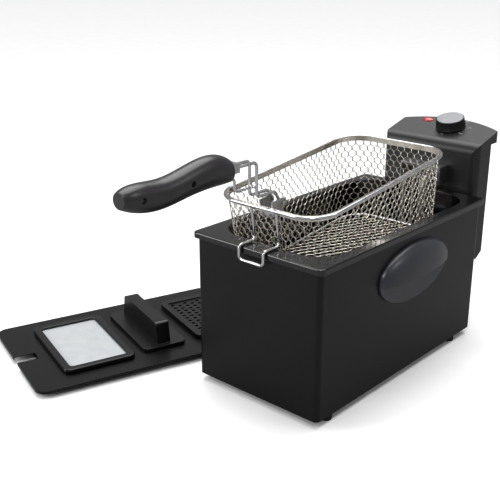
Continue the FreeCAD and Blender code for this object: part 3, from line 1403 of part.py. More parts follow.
def build_lid_vent(vent_y):
    """A cover with a raised border and staggered square holes, over a thin filter."""
    top = "plate_top + vent_height"
    cover = prism("VentBlank", "XY", "plate_top", "vent_height",
                  rectangle(("-vent_width / 2", "vent_width / 2"), vent_y, "vent_corner"))
    recess = block("VentRecess", ("vent_border - vent_width / 2", "vent_width / 2 - vent_border"),
                   (f"{vent_y[0]} + vent_border", f"{vent_y[1]} - vent_border"),
                   (f"{top} - vent_recess", f"{top} + 1"))
    holes = [recess]
    columns, rows = 11, 6
    for row in range(rows):
        for column in range(columns - row % 2):
            x = f"({column} - {(columns - 1 - row % 2) / 2}) * vent_pitch"
            y = f"{vent_y[0]} + vent_length / 2 + ({row} - {(rows - 1) / 2}) * vent_row_pitch"
            holes.append(block(f"VentHole{row}_{column}", (f"{x} - vent_hole / 2", f"{x} + vent_hole / 2"),
                               (f"{y} - vent_hole / 2", f"{y} + vent_hole / 2"),
                               ("lid_height - 1", f"{top} + 1")))
    node("lid_vent_cover", cut("VentCover", cover, *holes), "lid")
    filter_top = "lid_height - lid_sheet - joint_gap"
    pad = block("FilterPad", ("filter_inset - vent_width / 2", "vent_width / 2 - filter_inset"),
                (f"{vent_y[0]} + filter_inset", f"{vent_y[1]} - filter_inset"),
                (f"{filter_top} - filter_thickness", filter_top))
    node("lid_filter", group("LidFilter", [pad]), "lid")


# ---------------------------------------------------------------- the whole fryer

def check_objects():
    """Stop if any object failed or a piece has no sound solid."""
    for item in doc.Objects:
        if "Invalid" in item.State or "Error" in item.State:
            raise RuntimeError(f"{item.Name} ({item.Label}) is {item.State}")
    for item in NODES:
        shape = item.Shape
        if shape.isNull() or not shape.isValid() or not shape.Solids:
            raise RuntimeError(f"{item.Label} has no valid solid")


build_housing()
build_side_handles()
build_rear_rail()
build_pot()
build_head_casing()
build_dial()
build_head_insides()
build_element()
build_basket()
build_basket_handle()
build_lid()
doc.recompute()
check_objects()
for item in NODES:
    item.Shape.exportStep(f"parts/{item.Label}.step")
    print(f"{item.Label}: {len(item.Shape.Solids)} solid(s), {item.Shape.Volume:.0f} mm3")
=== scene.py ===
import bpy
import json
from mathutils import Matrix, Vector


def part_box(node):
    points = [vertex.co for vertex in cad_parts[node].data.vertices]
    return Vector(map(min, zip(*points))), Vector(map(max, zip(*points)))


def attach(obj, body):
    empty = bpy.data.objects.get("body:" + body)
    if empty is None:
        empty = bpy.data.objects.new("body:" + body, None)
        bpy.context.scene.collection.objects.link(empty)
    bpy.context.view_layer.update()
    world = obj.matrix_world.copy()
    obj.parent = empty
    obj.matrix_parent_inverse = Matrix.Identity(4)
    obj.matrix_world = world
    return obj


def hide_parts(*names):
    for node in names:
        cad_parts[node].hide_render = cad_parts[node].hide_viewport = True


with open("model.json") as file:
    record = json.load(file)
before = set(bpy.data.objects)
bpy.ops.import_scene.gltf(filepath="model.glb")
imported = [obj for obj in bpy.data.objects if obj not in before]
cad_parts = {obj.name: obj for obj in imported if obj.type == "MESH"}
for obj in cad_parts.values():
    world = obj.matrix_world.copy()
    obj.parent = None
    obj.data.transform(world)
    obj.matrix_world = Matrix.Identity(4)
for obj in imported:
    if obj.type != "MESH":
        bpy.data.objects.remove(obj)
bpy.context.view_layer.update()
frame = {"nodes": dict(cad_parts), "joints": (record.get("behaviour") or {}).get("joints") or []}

import json
import math

import bpy
from bpy.props import FloatProperty, FloatVectorProperty, IntProperty, PointerProperty, StringProperty
from mathutils import Matrix, Vector

bl_info = {
    "name": "Deep Fryer Finish",
    "version": (1, 0, 0),
    "blender": (4, 5, 0),
    "location": "3D View > Sidebar > Fryer",
    "description": "Finishes, woven basket and small fittings of a household deep fryer",
    "category": "Object",
}

MM = 0.001

# The basket's mesh, where a size isn't a setting.
MESH_GAP = 0.1 * MM         # between the mesh and the rim wire
BAND_RISE = 1.5 * MM        # how far the edge band stands above the rim wire's middle
BAND_THICKNESS = 2.2        # the band's thickness, in wire radii
TWIST_CLOSENESS = 0.85      # how near a wire's middle comes to the line it shares, in wire radii
WALL_STRAIGHT = 0.32        # half of a wire's straight stretch on the walls, in rows
FLOOR_STRAIGHT = 0.28       # the same on the floor

# The printed scale round the knob.
SCALE_START = -62           # angle of the first tick, in degrees from the panel's local x
SCALE_STEP = 15.5           # degrees from one tick to the next
TICKS = 9
LABELS = (("190", 8), ("170", 5), ("150", 2))
PRINT_HEIGHT = 0.05 * MM
NUMBER_SIZE = 3.4 * MM

# The stage.
FLOOR_RADIUS = 30.0
FLOOR_SIDES = 96
FLOOR_GAP = 0.2 * MM        # between the floor and the feet


# ---------------------------------------------------------------- settings

class FryerWeave(bpy.types.PropertyGroup):
    """Sizes of the basket's wire mesh."""
    pitch: FloatProperty(name="Wire pitch", default=5.2 * MM, unit="LENGTH",
                         description="From one upright wire to the next; a cell is two wide")
    row_height: FloatProperty(name="Row height", description="Half the height of one mesh cell",
                              default=7.4 * MM, unit="LENGTH")
    wire_radius: FloatProperty(name="Mesh wire radius", description="Half the mesh wire's thickness",
                               default=0.5 * MM, unit="LENGTH")
    depth: FloatProperty(name="Basket depth", description="From the rim wire's middle to the mesh floor",
                         default=110 * MM, unit="LENGTH")
    taper: FloatProperty(name="Taper", description="How far each wall leans in over the depth",
                         default=6 * MM, unit="LENGTH")
    corner: FloatProperty(name="Corner radius", description="Radius of the mesh tub's upright corners",
                          default=32 * MM, unit="LENGTH")
    rim_radius: FloatProperty(name="Rim wire radius", description="Half the rim wire's thickness",
                              default=2 * MM, unit="LENGTH")
    band_height: FloatProperty(name="Edge band", default=6.5 * MM, unit="LENGTH",
                               description="Height of the folded band at the mesh's top edge")


class FryerKnob(bpy.types.PropertyGroup):
    """Sizes of the thermostat knob and the marks round it."""
    ribs: IntProperty(name="Ribs", description="Grip ribs round the knob", default=54, min=12)
    rib_depth: FloatProperty(name="Rib depth", description="From a rib's top to the groove beside it",
                             default=0.5 * MM, unit="LENGTH")
    height: FloatProperty(name="Height", description="Height of the knob's skirt", default=13.4 * MM,
                          unit="LENGTH")
    float_gap: FloatProperty(name="Gap", description="Gap between the knob and the panel",
                             default=0.8 * MM, unit="LENGTH")
    foot_radius: FloatProperty(name="Foot radius", description="Radius at the panel", default=20 * MM,
                               unit="LENGTH")
    top_radius: FloatProperty(name="Top radius", description="Radius at the top", default=19 * MM,
                              unit="LENGTH")
    seat_radius: FloatProperty(name="Cap seat radius", description="Radius of the recess for the cap",
                               default=17.7 * MM, unit="LENGTH")
    seat_depth: FloatProperty(name="Cap seat depth", description="Depth of the recess for the cap",
                              default=1.2 * MM, unit="LENGTH")


class FryerColours(bpy.types.PropertyGroup):
    """Colours of the finishes, as sRGB hex."""
    housing: StringProperty(name="Housing paint", description="Satin black stoving paint", default="08080a")
    enamel: StringProperty(name="Pot enamel", description="Glossy black vitreous enamel", default="050506")
    side_handle: StringProperty(name="Side handles", description="Dark grey moulding", default="303136")
    head: StringProperty(name="Control head", description="Grained black moulding", default="0c0d0e")
    grip: StringProperty(name="Basket grip", description="Warm grey-black resin", default="242124")
    lid: StringProperty(name="Lid paint", description="Satin black paint of the lid", default="050506")
    mesh: StringProperty(name="Mesh wire", description="Tinned wire", default="efeadf")
    lens: StringProperty(name="Lamp lens", description="Red pilot lens", default="b3101a")


class FryerStage(bpy.types.PropertyGroup):
    """Where the view is taken from."""
    eye: FloatVectorProperty(name="Eye", description="Place of the camera", subtype="TRANSLATION",
                             default=(0.5798, -0.8210, 0.5077))
    tilt: FloatProperty(name="Tilt", description="Camera tilt from straight down", subtype="ANGLE",
                        default=math.radians(69.92))
    turn: FloatProperty(name="Turn", description="Camera turn about the vertical", subtype="ANGLE",
                        default=math.radians(42.02))
    lens: FloatProperty(name="Lens", description="Focal length in millimetres on a 36 mm sensor",
                        default=61.77)


# ---------------------------------------------------------------- materials

def linear(code):
    """An sRGB hex colour as linear red, green, blue and full alpha."""
    channels = [int(code[i:i + 2], 16) / 255 for i in (0, 2, 4)]
    return [c / 12.92 if c <= 0.04045 else ((c + 0.055) / 1.055) ** 2.4 for c in channels] + [1.0]


def shade(code, factor):
    """A linear colour made lighter or darker by a factor."""
    return [min(1.0, c * factor) for c in linear(code)[:3]] + [1.0]


def add(tree, kind, links=(), stops=(), **settings):
    """Add a node, set its properties, its _Sockets and its colour stops, and link other nodes to it."""
    item = tree.nodes.new(kind)
    for key, setting in settings.items():
        if key.startswith("_"):
            item.inputs[key[1:].replace("_", " ")].default_value = setting
        else:
            setattr(item, key, setting)
    for index, (position, colour) in enumerate(stops):
        item.color_ramp.elements[index].position = position
        item.color_ramp.elements[index].color = colour
    for socket, source, output in links:
        tree.links.new(source.outputs[output], item.inputs[socket])
    return item


def new_material(name):
    """An empty material with its tree and coordinates."""
    material = bpy.data.materials.new(name)
    material.use_nodes = True
    tree = material.node_tree
    tree.nodes.clear()
    place = add(tree, "ShaderNodeTexCoord")
    return material, tree, place


def moulded(name, code, grain_mm, roughness, grain_depth=0.05, edge=0.5, **sockets):
    """Moulded plastic: a spark-eroded grain, a slight mottle and rounded edges."""
    material, tree, place = new_material(name)
    mottle = add(tree, "ShaderNodeTexNoise", [("Vector", place, "Object")], _Scale=1000 / 22, _Detail=3.0)
    grain = add(tree, "ShaderNodeTexNoise", [("Vector", place, "Object")],
                _Scale=1000 / grain_mm, _Detail=4.0)
    tint = add(tree, "ShaderNodeValToRGB", [("Fac", mottle, "Fac")],
               stops=((0.3, shade(code, 0.86)), (0.7, shade(code, 1.12))))
    rough = add(tree, "ShaderNodeMapRange", [("Value", grain, "Fac")],
                _To_Min=roughness - 0.07, _To_Max=roughness + 0.09)
    edges = add(tree, "ShaderNodeBevel", samples=4, _Radius=edge * MM)
    bump = add(tree, "ShaderNodeBump", [("Height", grain, "Fac"), ("Normal", edges, "Normal")],
               _Strength=0.35, _Distance=grain_depth * MM)
    shader = add(tree, "ShaderNodeBsdfPrincipled",
                 [("Base Color", tint, "Color"), ("Roughness", rough, "Result"), ("Normal", bump, "Normal")],
                 **sockets)
    add(tree, "ShaderNodeOutputMaterial", [("Surface", shader, "BSDF")])
    return material


def coated_sheet(name, code, peel_mm, roughness, peel_depth, edge=0.7, **sockets):
    """Paint or enamel on sheet: a slow orange-peel ripple, fine dust specks and soft edges."""
    material, tree, place = new_material(name)
    peel = add(tree, "ShaderNodeTexNoise", [("Vector", place, "Object")], _Scale=1000 / peel_mm, _Detail=2.0)
    film = add(tree, "ShaderNodeTexNoise", [("Vector", place, "Object")], _Scale=1000 / 70, _Detail=4.0)
    specks = add(tree, "ShaderNodeTexVoronoi", [("Vector", place, "Object")], _Scale=1000 / 1.6)
    tint = add(tree, "ShaderNodeValToRGB", [("Fac", film, "Fac")],
               stops=((0.3, shade(code, 0.9)), (0.7, shade(code, 1.12))))
    speck_rough = add(tree, "ShaderNodeMapRange", [("Value", specks, "Distance")],
                      _From_Min=0.0, _From_Max=0.25, _To_Min=0.05, _To_Max=0.0)
    film_rough = add(tree, "ShaderNodeMapRange", [("Value", film, "Fac")],
                     _To_Min=roughness - 0.05, _To_Max=roughness + 0.05)
    rough = add(tree, "ShaderNodeMath", [(0, film_rough, "Result"), (1, speck_rough, "Result")],
                operation="ADD")
    edges = add(tree, "ShaderNodeBevel", samples=4, _Radius=edge * MM)
    bump = add(tree, "ShaderNodeBump", [("Height", peel, "Fac"), ("Normal", edges, "Normal")],
               _Strength=0.4, _Distance=peel_depth * MM)
    shader = add(tree, "ShaderNodeBsdfPrincipled",
                 [("Base Color", tint, "Color"), ("Roughness", rough, "Value"), ("Normal", bump, "Normal")],
                 **sockets)
    add(tree, "ShaderNodeOutputMaterial", [("Surface", shader, "BSDF")])
    return material


def drawn_metal(name, code, roughness, line_mm=(0.3, 12, 12), edge=0.2, **sockets):
    """Metal wire or sheet: fine drawing lines one way, cloudy brightness and bare edges."""
    material, tree, place = new_material(name)
    stretch = add(tree, "ShaderNodeMapping", [("Vector", place, "Object")],
                  _Scale=[1000 / size for size in line_mm])
    lines = add(tree, "ShaderNodeTexNoise", [("Vector", stretch, "Vector")], _Scale=1.0, _Detail=5.0)
    cloud = add(tree, "ShaderNodeTexNoise", [("Vector", place, "Object")], _Scale=1000 / 9, _Detail=3.0)
    tint = add(tree, "ShaderNodeValToRGB", [("Fac", cloud, "Fac")],
               stops=((0.3, shade(code, 0.78)), (0.7, shade(code, 1.05))))
    rough = add(tree, "ShaderNodeMapRange", [("Value", lines, "Fac")],
                _To_Min=max(0.03, roughness - 0.06), _To_Max=roughness + 0.08)
    edges = add(tree, "ShaderNodeBevel", samples=4, _Radius=edge * MM)
    bump = add(tree, "ShaderNodeBump", [("Height", lines, "Fac"), ("Normal", edges, "Normal")],
               _Strength=0.25, _Distance=0.02 * MM)
    shader = add(tree, "ShaderNodeBsdfPrincipled",
                 [("Base Color", tint, "Color"), ("Roughness", rough, "Result"), ("Normal", bump, "Normal")],
                 _Metallic=1.0, **sockets)
    add(tree, "ShaderNodeOutputMaterial", [("Surface", shader, "BSDF")])
    return material


def stoved_paint(code):
    # Stoving paint on drawn steel: deep black with a satin film that greys softly under the lamps.
    return coated_sheet("Stoved satin paint on steel", code, 1.2, 0.3, 0.02, _Specular_IOR_Level=0.3)


def vitreous_enamel(code):
    # Fired enamel on steel: glassy and very dark, its reflections bent by a slow ripple.
    return coated_sheet("Fired vitreous enamel", code, 14, 0.14, 0.04, edge=1.0, _Coat_Weight=0.3,
                        _Coat_Roughness=0.06)


def lid_paint(code):
    # The lid's paint: darker than the housing's, with a slightly wider ripple in its satin film.
    return coated_sheet("Satin paint on lid pressing", code, 1.5, 0.3, 0.02, _Specular_IOR_Level=0.3)


def polypropylene(code):
    # Moulded polypropylene of the side handles: dark grey, with a broad silky highlight.
    return moulded("Satin moulded polypropylene", code, 0.6, 0.3, grain_depth=0.015, edge=0.8)


def abs_casing(code):
    # Spark-eroded ABS of the control head: matt black, its ridge catching one broad sheen.
    return moulded("Grained moulded ABS", code, 0.7, 0.42, grain_depth=0.06, edge=0.7)


def phenolic_grip(code):
    # Phenolic resin of the basket grip: warm grey-black and smooth from handling.
    return moulded("Pressed phenolic resin", code, 1.1, 0.3, grain_depth=0.03, edge=0.4, _Coat_Weight=0.1,
                   _Coat_Roughness=0.2)


def phenolic_black():
    # Phenolic resin of the lid's frame and bar: plain black with a dull polish.
    return moulded("Black phenolic moulding", "060607", 0.9, 0.32, grain_depth=0.03, edge=0.9,
                   _Specular_IOR_Level=0.4)


def knob_nylon():
    # Glass-filled nylon of the knob: dense black, with small highlights on the ribs' soft edges.
    return moulded("Black glass-filled nylon", "0a0a0b", 0.5, 0.3, grain_depth=0.03, edge=0.25)


def foot_rubber():
    # Vulcanised rubber: dull black with a chalky bloom.
    return moulded("Vulcanised black rubber", "151516", 0.8, 0.75, grain_depth=0.08, edge=0.5)


def reset_plastic():
    # Red nylon button: plain and slightly faded.
    return moulded("Red nylon button", "9c1f1e", 0.6, 0.4, grain_depth=0.03, edge=0.3)


def terminal_moulding():
    # Urea moulding of the parts inside the head: cream, with a dull, faintly mottled skin.
    return moulded("Cream urea moulding", "cfc9b8", 0.8, 0.5, grain_depth=0.04, edge=0.4)


def plated_wire():
    # Nickel-chrome plated wire: mirror bright with faint drawing lines.
    return drawn_metal("Nickel-chrome plated wire", "dcdcde", 0.13)


def tinned_wire(code):
    # Tinned mesh wire: softer and warmer than the plated rim.
    return drawn_metal("Tinned mesh wire", code, 0.24)


def stainless_sheet():
    # Cold-rolled stainless sheet: grey and satin, with fine level rolling lines.
    return drawn_metal("Cold-rolled stainless sheet", "b9b9ba", 0.28, line_mm=(14, 14, 0.25))


def zinc_steel():
    # Zinc-plated steel screws: pale grey with a cloudy passivated film.
    return drawn_metal("Zinc-plated steel", "b2b4b8", 0.32)


def turned_brass():
    # Turned brass nuts: yellow, with tool lines.
    return drawn_metal("Turned brass", "b48f4d", 0.3)


def galvanised_sheet():
    # Galvanised sheet of the base and rail: dull grey spangle.
    return drawn_metal("Galvanised sheet", "8f9294", 0.42, line_mm=(9, 9, 9), edge=0.4)


def heated_sheath():
    # Stainless sheath of the element, tinted straw and brown by heat in cloudy bands.
    material, tree, place = new_material("Heat-tinted stainless sheath")
    bands = add(tree, "ShaderNodeTexNoise", [("Vector", place, "Object")], _Scale=1000 / 30, _Detail=4.0)
    pits = add(tree, "ShaderNodeTexNoise", [("Vector", place, "Object")], _Scale=1000 / 0.8, _Detail=3.0)
    tint = add(tree, "ShaderNodeValToRGB", [("Fac", bands, "Fac")],
               stops=((0.3, linear("5d5249")), (0.7, linear("9a958d"))))
    rough = add(tree, "ShaderNodeMapRange", [("Value", pits, "Fac")], _To_Min=0.28, _To_Max=0.5)
    bump = add(tree, "ShaderNodeBump", [("Height", pits, "Fac")], _Strength=0.3, _Distance=0.04 * MM)
    shader = add(tree, "ShaderNodeBsdfPrincipled",
                 [("Base Color", tint, "Color"), ("Roughness", rough, "Result"), ("Normal", bump, "Normal")],
                 _Metallic=1.0)
    add(tree, "ShaderNodeOutputMaterial", [("Surface", shader, "BSDF")])
    return material


def spun_aluminium(centre, up):
    """Spun aluminium of the knob's cap: fine rings round its middle."""
    # The rings are drawn 0.35 mm apart, coarser than real turning marks, so that they show.
    material, tree, place = new_material("Spun anodised aluminium")
    from_centre = add(tree, "ShaderNodeVectorMath", [(0, place, "Object")], operation="SUBTRACT")
    from_centre.inputs[1].default_value = centre
    along = add(tree, "ShaderNodeVectorMath", [(0, from_centre, "Vector")], operation="CROSS_PRODUCT")
    along.inputs[1].default_value = up
    radius = add(tree, "ShaderNodeVectorMath", [(0, along, "Vector")], operation="LENGTH")
    rings = add(tree, "ShaderNodeTexNoise", [("W", radius, "Value")], noise_dimensions="1D",
                _Scale=1000 / 0.35, _Detail=2.0)
    tint = add(tree, "ShaderNodeValToRGB", [("Fac", rings, "Fac")],
               stops=((0.3, linear("86888a")), (0.7, linear("aeb0b2"))))
    rough = add(tree, "ShaderNodeMapRange", [("Value", rings, "Fac")], _To_Min=0.22, _To_Max=0.4)
    edges = add(tree, "ShaderNodeBevel", samples=4, _Radius=0.3 * MM)
    bump = add(tree, "ShaderNodeBump", [("Height", rings, "Fac"), ("Normal", edges, "Normal")],
               _Strength=0.4, _Distance=0.03 * MM)
    shader = add(tree, "ShaderNodeBsdfPrincipled",
                 [("Base Color", tint, "Color"), ("Roughness", rough, "Result"), ("Normal", bump, "Normal")],
                 _Metallic=1.0)
    add(tree, "ShaderNodeOutputMaterial", [("Surface", shader, "BSDF")])
    return material


def lens_polycarbonate(code):
    """Red polycarbonate: a clear coat over facets that break up its faint glow."""
    material, tree, place = new_material("Red polycarbonate lens")
    facets = add(tree, "ShaderNodeTexVoronoi", [("Vector", place, "Object")], _Scale=1000 / 1.4)
    tint = add(tree, "ShaderNodeValToRGB", [("Fac", facets, "Distance")],
               stops=((0.0, shade(code, 1.1)), (0.8, shade(code, 0.55))))
    bump = add(tree, "ShaderNodeBump", [("Height", facets, "Distance")], _Strength=0.25, _Distance=0.2 * MM)
    shader = add(tree, "ShaderNodeBsdfPrincipled",
                 [("Base Color", tint, "Color"), ("Normal", bump, "Normal")],
                 _Roughness=0.3, _Coat_Weight=0.3, _Coat_Roughness=0.08, _IOR=1.58,
                 _Emission_Color=linear(code), _Emission_Strength=0.2)
    add(tree, "ShaderNodeOutputMaterial", [("Surface", shader, "BSDF")])
    return material


def tempered_glass():
    """Tempered window glass, nearly opaque: its pale grey is painted light standing in for the bright board
    seen through it, with a faint mottle; its face slightly wavy.
    """
    material, tree, place = new_material("Tempered soda-lime glass")
    wave = add(tree, "ShaderNodeTexNoise", [("Vector", place, "Object")], _Scale=1000 / 40, _Detail=1.0)
    painted_see_through_mottle = add(tree, "ShaderNodeTexNoise", [("Vector", place, "Object")], _Scale=1000 / 15, _Detail=4.0)
    # Painted light: the pale grey stands in for the bright board seen through the glass beneath.
    tint = add(tree, "ShaderNodeValToRGB", [("Fac", painted_see_through_mottle, "Fac")],
               stops=((0.3, linear("b4b7b9")), (0.7, linear("bcbfc0"))))
    bump = add(tree, "ShaderNodeBump", [("Height", wave, "Fac")], _Strength=0.1, _Distance=0.03 * MM)
    shader = add(tree, "ShaderNodeBsdfPrincipled",
                 [("Base Color", tint, "Color"), ("Normal", bump, "Normal")],
                 _Roughness=0.16, _IOR=1.52, _Alpha=0.85)
    add(tree, "ShaderNodeOutputMaterial", [("Surface", shader, "BSDF")])
    return material


def fibre_felt():
    """Filter felt: matted grey fibres a fraction of a millimetre across."""
    material, tree, place = new_material("Polyester filter felt")
    fibres = add(tree, "ShaderNodeTexNoise", [("Vector", place, "Object")], _Scale=1000 / 1.5, _Detail=8.0,
                 _Distortion=1.5)
    tint = add(tree, "ShaderNodeValToRGB", [("Fac", fibres, "Fac")],
               stops=((0.3, linear("2a2a29")), (0.7, linear("5a5a57"))))
    bump = add(tree, "ShaderNodeBump", [("Height", fibres, "Fac")], _Strength=0.8, _Distance=0.5 * MM)
    shader = add(tree, "ShaderNodeBsdfPrincipled",
                 [("Base Color", tint, "Color"), ("Normal", bump, "Normal")],
                 _Roughness=0.95, _Sheen_Weight=0.3)
    add(tree, "ShaderNodeOutputMaterial", [("Surface", shader, "BSDF")])
    return material


def printed_white():
    """Pad-printed white ink: slightly thin over the plastic's grain."""
    material, tree, place = new_material("Pad-printed white ink")
    thin = add(tree, "ShaderNodeTexNoise", [("Vector", place, "Object")], _Scale=1000 / 0.9, _Detail=3.0)
    tint = add(tree, "ShaderNodeValToRGB", [("Fac", thin, "Fac")],
               stops=((0.3, linear("9b9da0")), (0.7, linear("d2d3d4"))))
    shader = add(tree, "ShaderNodeBsdfPrincipled", [("Base Color", tint, "Color")],
                 _Roughness=0.6)
    add(tree, "ShaderNodeOutputMaterial", [("Surface", shader, "BSDF")])
    return material


def neon_glass():
    """Small neon tube: clear orange-tinted glass."""
    material, tree, place = new_material("Neon indicator glass")
    haze = add(tree, "ShaderNodeTexNoise", [("Vector", place, "Object")], _Scale=1000 / 2, _Detail=2.0)
    tint = add(tree, "ShaderNodeValToRGB", [("Fac", haze, "Fac")],
               stops=((0.3, linear("d89a5c")), (0.7, linear("f2c89a"))))
    shader = add(tree, "ShaderNodeBsdfPrincipled", [("Base Color", tint, "Color")],
                 _Roughness=0.1, _Alpha=0.6)
    add(tree, "ShaderNodeOutputMaterial", [("Surface", shader, "BSDF")])
    return material


# ---------------------------------------------------------------- mesh helpers

def paint(material, *names):
    """Give CAD nodes a finish."""
    for name in names:
        data = frame["nodes"][name].data
        data.materials.clear()
        data.materials.append(material)


def round_edges(width, *names):
    """Round a CAD node's sharp edges by a width, as its mould or press does."""
    for name in names:
        item = frame["nodes"][name]
        weld = item.modifiers.new("Weld", "WELD")
        weld.merge_threshold = 0.01 * MM
        bevel = item.modifiers.new("Round", "BEVEL")
        bevel.width = width
        bevel.segments = 3
        bevel.limit_method = "ANGLE"
        bevel.angle_limit = math.radians(50)
        bevel.harden_normals = True


def placed(name, data, material, body, slot, place=None):
    """A new object of mesh data that rides on a body and takes the given finish; the slot is not used."""
    data.materials.clear()
    data.materials.append(material)
    made = bpy.data.objects.new(name, data)
    bpy.context.scene.collection.objects.link(made)
    if place is not None:
        made.matrix_world = place
    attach(made, body)
    return made


def piece(name, vertices, faces, material, body, slot, place=None, smooth=True):
    """A new piece from vertices and faces."""
    data = bpy.data.meshes.new(name)
    data.from_pydata([tuple(v) for v in vertices], [], faces)
    data.validate()
    for polygon in data.polygons:
        polygon.use_smooth = smooth
    return placed(name, data, material, body, slot, place)


def mesh_of(curve):
    """A mesh from curve or text data, which is removed."""
    holder = bpy.data.objects.new(curve.name, curve)
    data = bpy.data.meshes.new_from_object(holder)
    bpy.data.objects.remove(holder)
    bpy.data.curves.remove(curve)
    return data


def tube_piece(name, paths, radius, material, body, slot, place):
    """Thin wires along several open paths, made into one mesh."""
    curve = bpy.data.curves.new(name + "_path", "CURVE")
    curve.dimensions = "3D"
    curve.bevel_depth = radius
    curve.bevel_resolution = 0
    curve.use_fill_caps = True
    for path in paths:
        spline = curve.splines.new("POLY")
        spline.points.add(len(path) - 1)
        for point, spot in zip(spline.points, path):
            point.co = (*spot, 1.0)
    data = mesh_of(curve)
    data.name = name
    for polygon in data.polygons:
        polygon.use_smooth = True
    return placed(name, data, material, body, slot, place)


def ringed(rings, count, ribs=0, rib_depth=0.0):
    """Vertices and faces of a round form, capped at both ends, from rings of radius, height and the share
    of the rib depth that they take."""
    vertices, faces = [], []
    for radius, height, share in rings:
        for step in range(count):
            angle = 2 * math.pi * step / count
            reach = radius - share * rib_depth * 0.5 * (1 - math.cos(ribs * angle))
            vertices.append((reach * math.cos(angle), reach * math.sin(angle), height))
    for level in range(len(rings) - 1):
        low, high = level * count, (level + 1) * count
        for step in range(count):
            following = (step + 1) % count
            faces.append((low + step, low + following, high + following, high + step))
    faces.append(tuple(range(count))[::-1])
    faces.append(tuple(range((len(rings) - 1) * count, len(rings) * count)))
    return vertices, faces


def slab(corners, low, high, start=0):
    """Vertices and faces of a flat four-cornered mark between two heights."""
    vertices = [(x, y, z) for z in (low, high) for x, y in corners]
    faces = [(start + 3, start + 2, start + 1, start), (start + 4, start + 5, start + 6, start + 7)]
    faces += [(start + i, start + (i + 1) % 4, start + 4 + (i + 1) % 4, start + 4 + i) for i in range(4)]
    return vertices, faces


def sharpen(made, degrees=40):
    """Keep a piece's hard edges crisp while its rounds stay smooth."""
    made.data.set_sharp_from_angle(angle=math.radians(degrees))


def panel_place():
    """The dial's place: its middle on the panel, its local z square to the panel."""
    joint = next(j for j in frame["joints"] if j["name"] == "dial_turn")
    slope = math.atan2(joint["axis"][1], -joint["axis"][2])
    return Matrix.Translation(joint["pos_m"]) @ Matrix.Rotation(slope, 4, "X")


def looking_along(centre, direction):
    """A place whose local z points along a direction."""
    turn = Vector(direction).to_track_quat("Z", "Y").to_matrix().to_4x4()
    return Matrix.Translation(centre) @ turn


def outer_faces(node, direction):
    """The middle of the outermost face of each solid of a node, looking along a direction."""
    apart, level = 9 * MM, 0.05 * MM
    clusters = []
    for spot in (v.co.copy() for v in frame["nodes"][node].data.vertices):
        flat = spot - direction * spot.dot(direction)
        for cluster in clusters:
            if (cluster["flat"] - flat).length < apart:
                cluster["spots"].append(spot)
                break
        else:
            clusters.append({"flat": flat, "spots": [spot]})
    found = []
    for cluster in clusters:
        reach = max(spot.dot(direction) for spot in cluster["spots"])
        face = [spot for spot in cluster["spots"] if spot.dot(direction) > reach - level]
        low = Vector([min(spot[i] for spot in face) for i in range(3)])
        high = Vector([max(spot[i] for spot in face) for i in range(3)])
        found.append((low + high) / 2)
    return found


def cross_cut(head, radius, height):
    """Cut a cross-shaped driver recess into a screw head."""
    body = bpy.data.objects.new("head_blank", head)
    arm, half = 0.55 * radius, 0.14 * radius
    outline = [(half, half), (arm, half), (arm, -half), (half, -half), (half, -arm), (-half, -arm),
               (-half, -half), (-arm, -half), (-arm, half), (-half, half), (-half, arm), (half, arm)]
    low, high = 0.35 * height, 1.5 * height
    vertices = [(x, y, low) for x, y in outline] + [(x, y, high) for x, y in outline]
    count = len(outline)
    faces = [tuple(range(count)), tuple(range(count, 2 * count))[::-1]]
    faces += [(i, i + count, (i + 1) % count + count, (i + 1) % count) for i in range(count)]
    tool_mesh = bpy.data.meshes.new("cross_tool")
    tool_mesh.from_pydata(vertices, [], faces)
    tool = bpy.data.objects.new("cross_tool", tool_mesh)
    for item in (body, tool):
        bpy.context.scene.collection.objects.link(item)
    carve = body.modifiers.new("Recess", "BOOLEAN")
    carve.object = tool
    carve.operation = "DIFFERENCE"
    carve.solver = "EXACT"
    bpy.context.view_layer.update()
    result = bpy.data.meshes.new_from_object(body.evaluated_get(bpy.context.evaluated_depsgraph_get()))
    for item in (body, tool):
        bpy.data.objects.remove(item)
    return result


# ---------------------------------------------------------------- operators

class FRYER_OT_housing(bpy.types.Operator):
    """Finish the housing, its feet, side handles and rear rail."""
    bl_idname = "fryer.housing"
    bl_label = "Finish housing"

    def execute(self, context):
        colours = context.scene.fryer_colours
        paint(stoved_paint(colours.housing), "housing_shell")
        paint(polypropylene(colours.side_handle), "side_handle_left", "side_handle_right")
        paint(foot_rubber(), "feet")
        paint(galvanised_sheet(), "base_plate", "rear_rail")
        paint(zinc_steel(), "foot_screws", "side_handle_screws", "rail_rivets")
        return {"FINISHED"}


class FRYER_OT_pot(bpy.types.Operator):
    """Finish the enamelled oil pot."""
    bl_idname = "fryer.pot"
    bl_label = "Finish oil pot"

    def execute(self, context):
        paint(vitreous_enamel(context.scene.fryer_colours.enamel), "oil_pot")
        round_edges(0.9 * MM, "oil_pot")
        return {"FINISHED"}


class FRYER_OT_head(bpy.types.Operator):
    """Finish the control head, what it holds and its element."""
    bl_idname = "fryer.head"
    bl_label = "Finish control head"

    def execute(self, context):
        colours = context.scene.fryer_colours
        paint(abs_casing(colours.head), "head_front_shell", "head_rear_cover", "head_top_panel", "head_guide")
        paint(lens_polycarbonate(colours.lens), "pilot_lamp_lens")
        paint(neon_glass(), "neon_lamp")
        paint(foot_rubber(), "cord_gland")
        paint(reset_plastic(), "reset_button")
        paint(terminal_moulding(), "thermostat_body", "thermal_cutout", "interlock_switch", "terminal_block")
        paint(stainless_sheet(), "element_bracket", "sensor_clip")
        paint(heated_sheath(), "heating_element", "sensor_tube", "sensor_bulb")
        paint(turned_brass(), "element_nuts")
        paint(zinc_steel(), "thermostat_screws", "thermostat_shaft", "cover_screws")
        return {"FINISHED"}


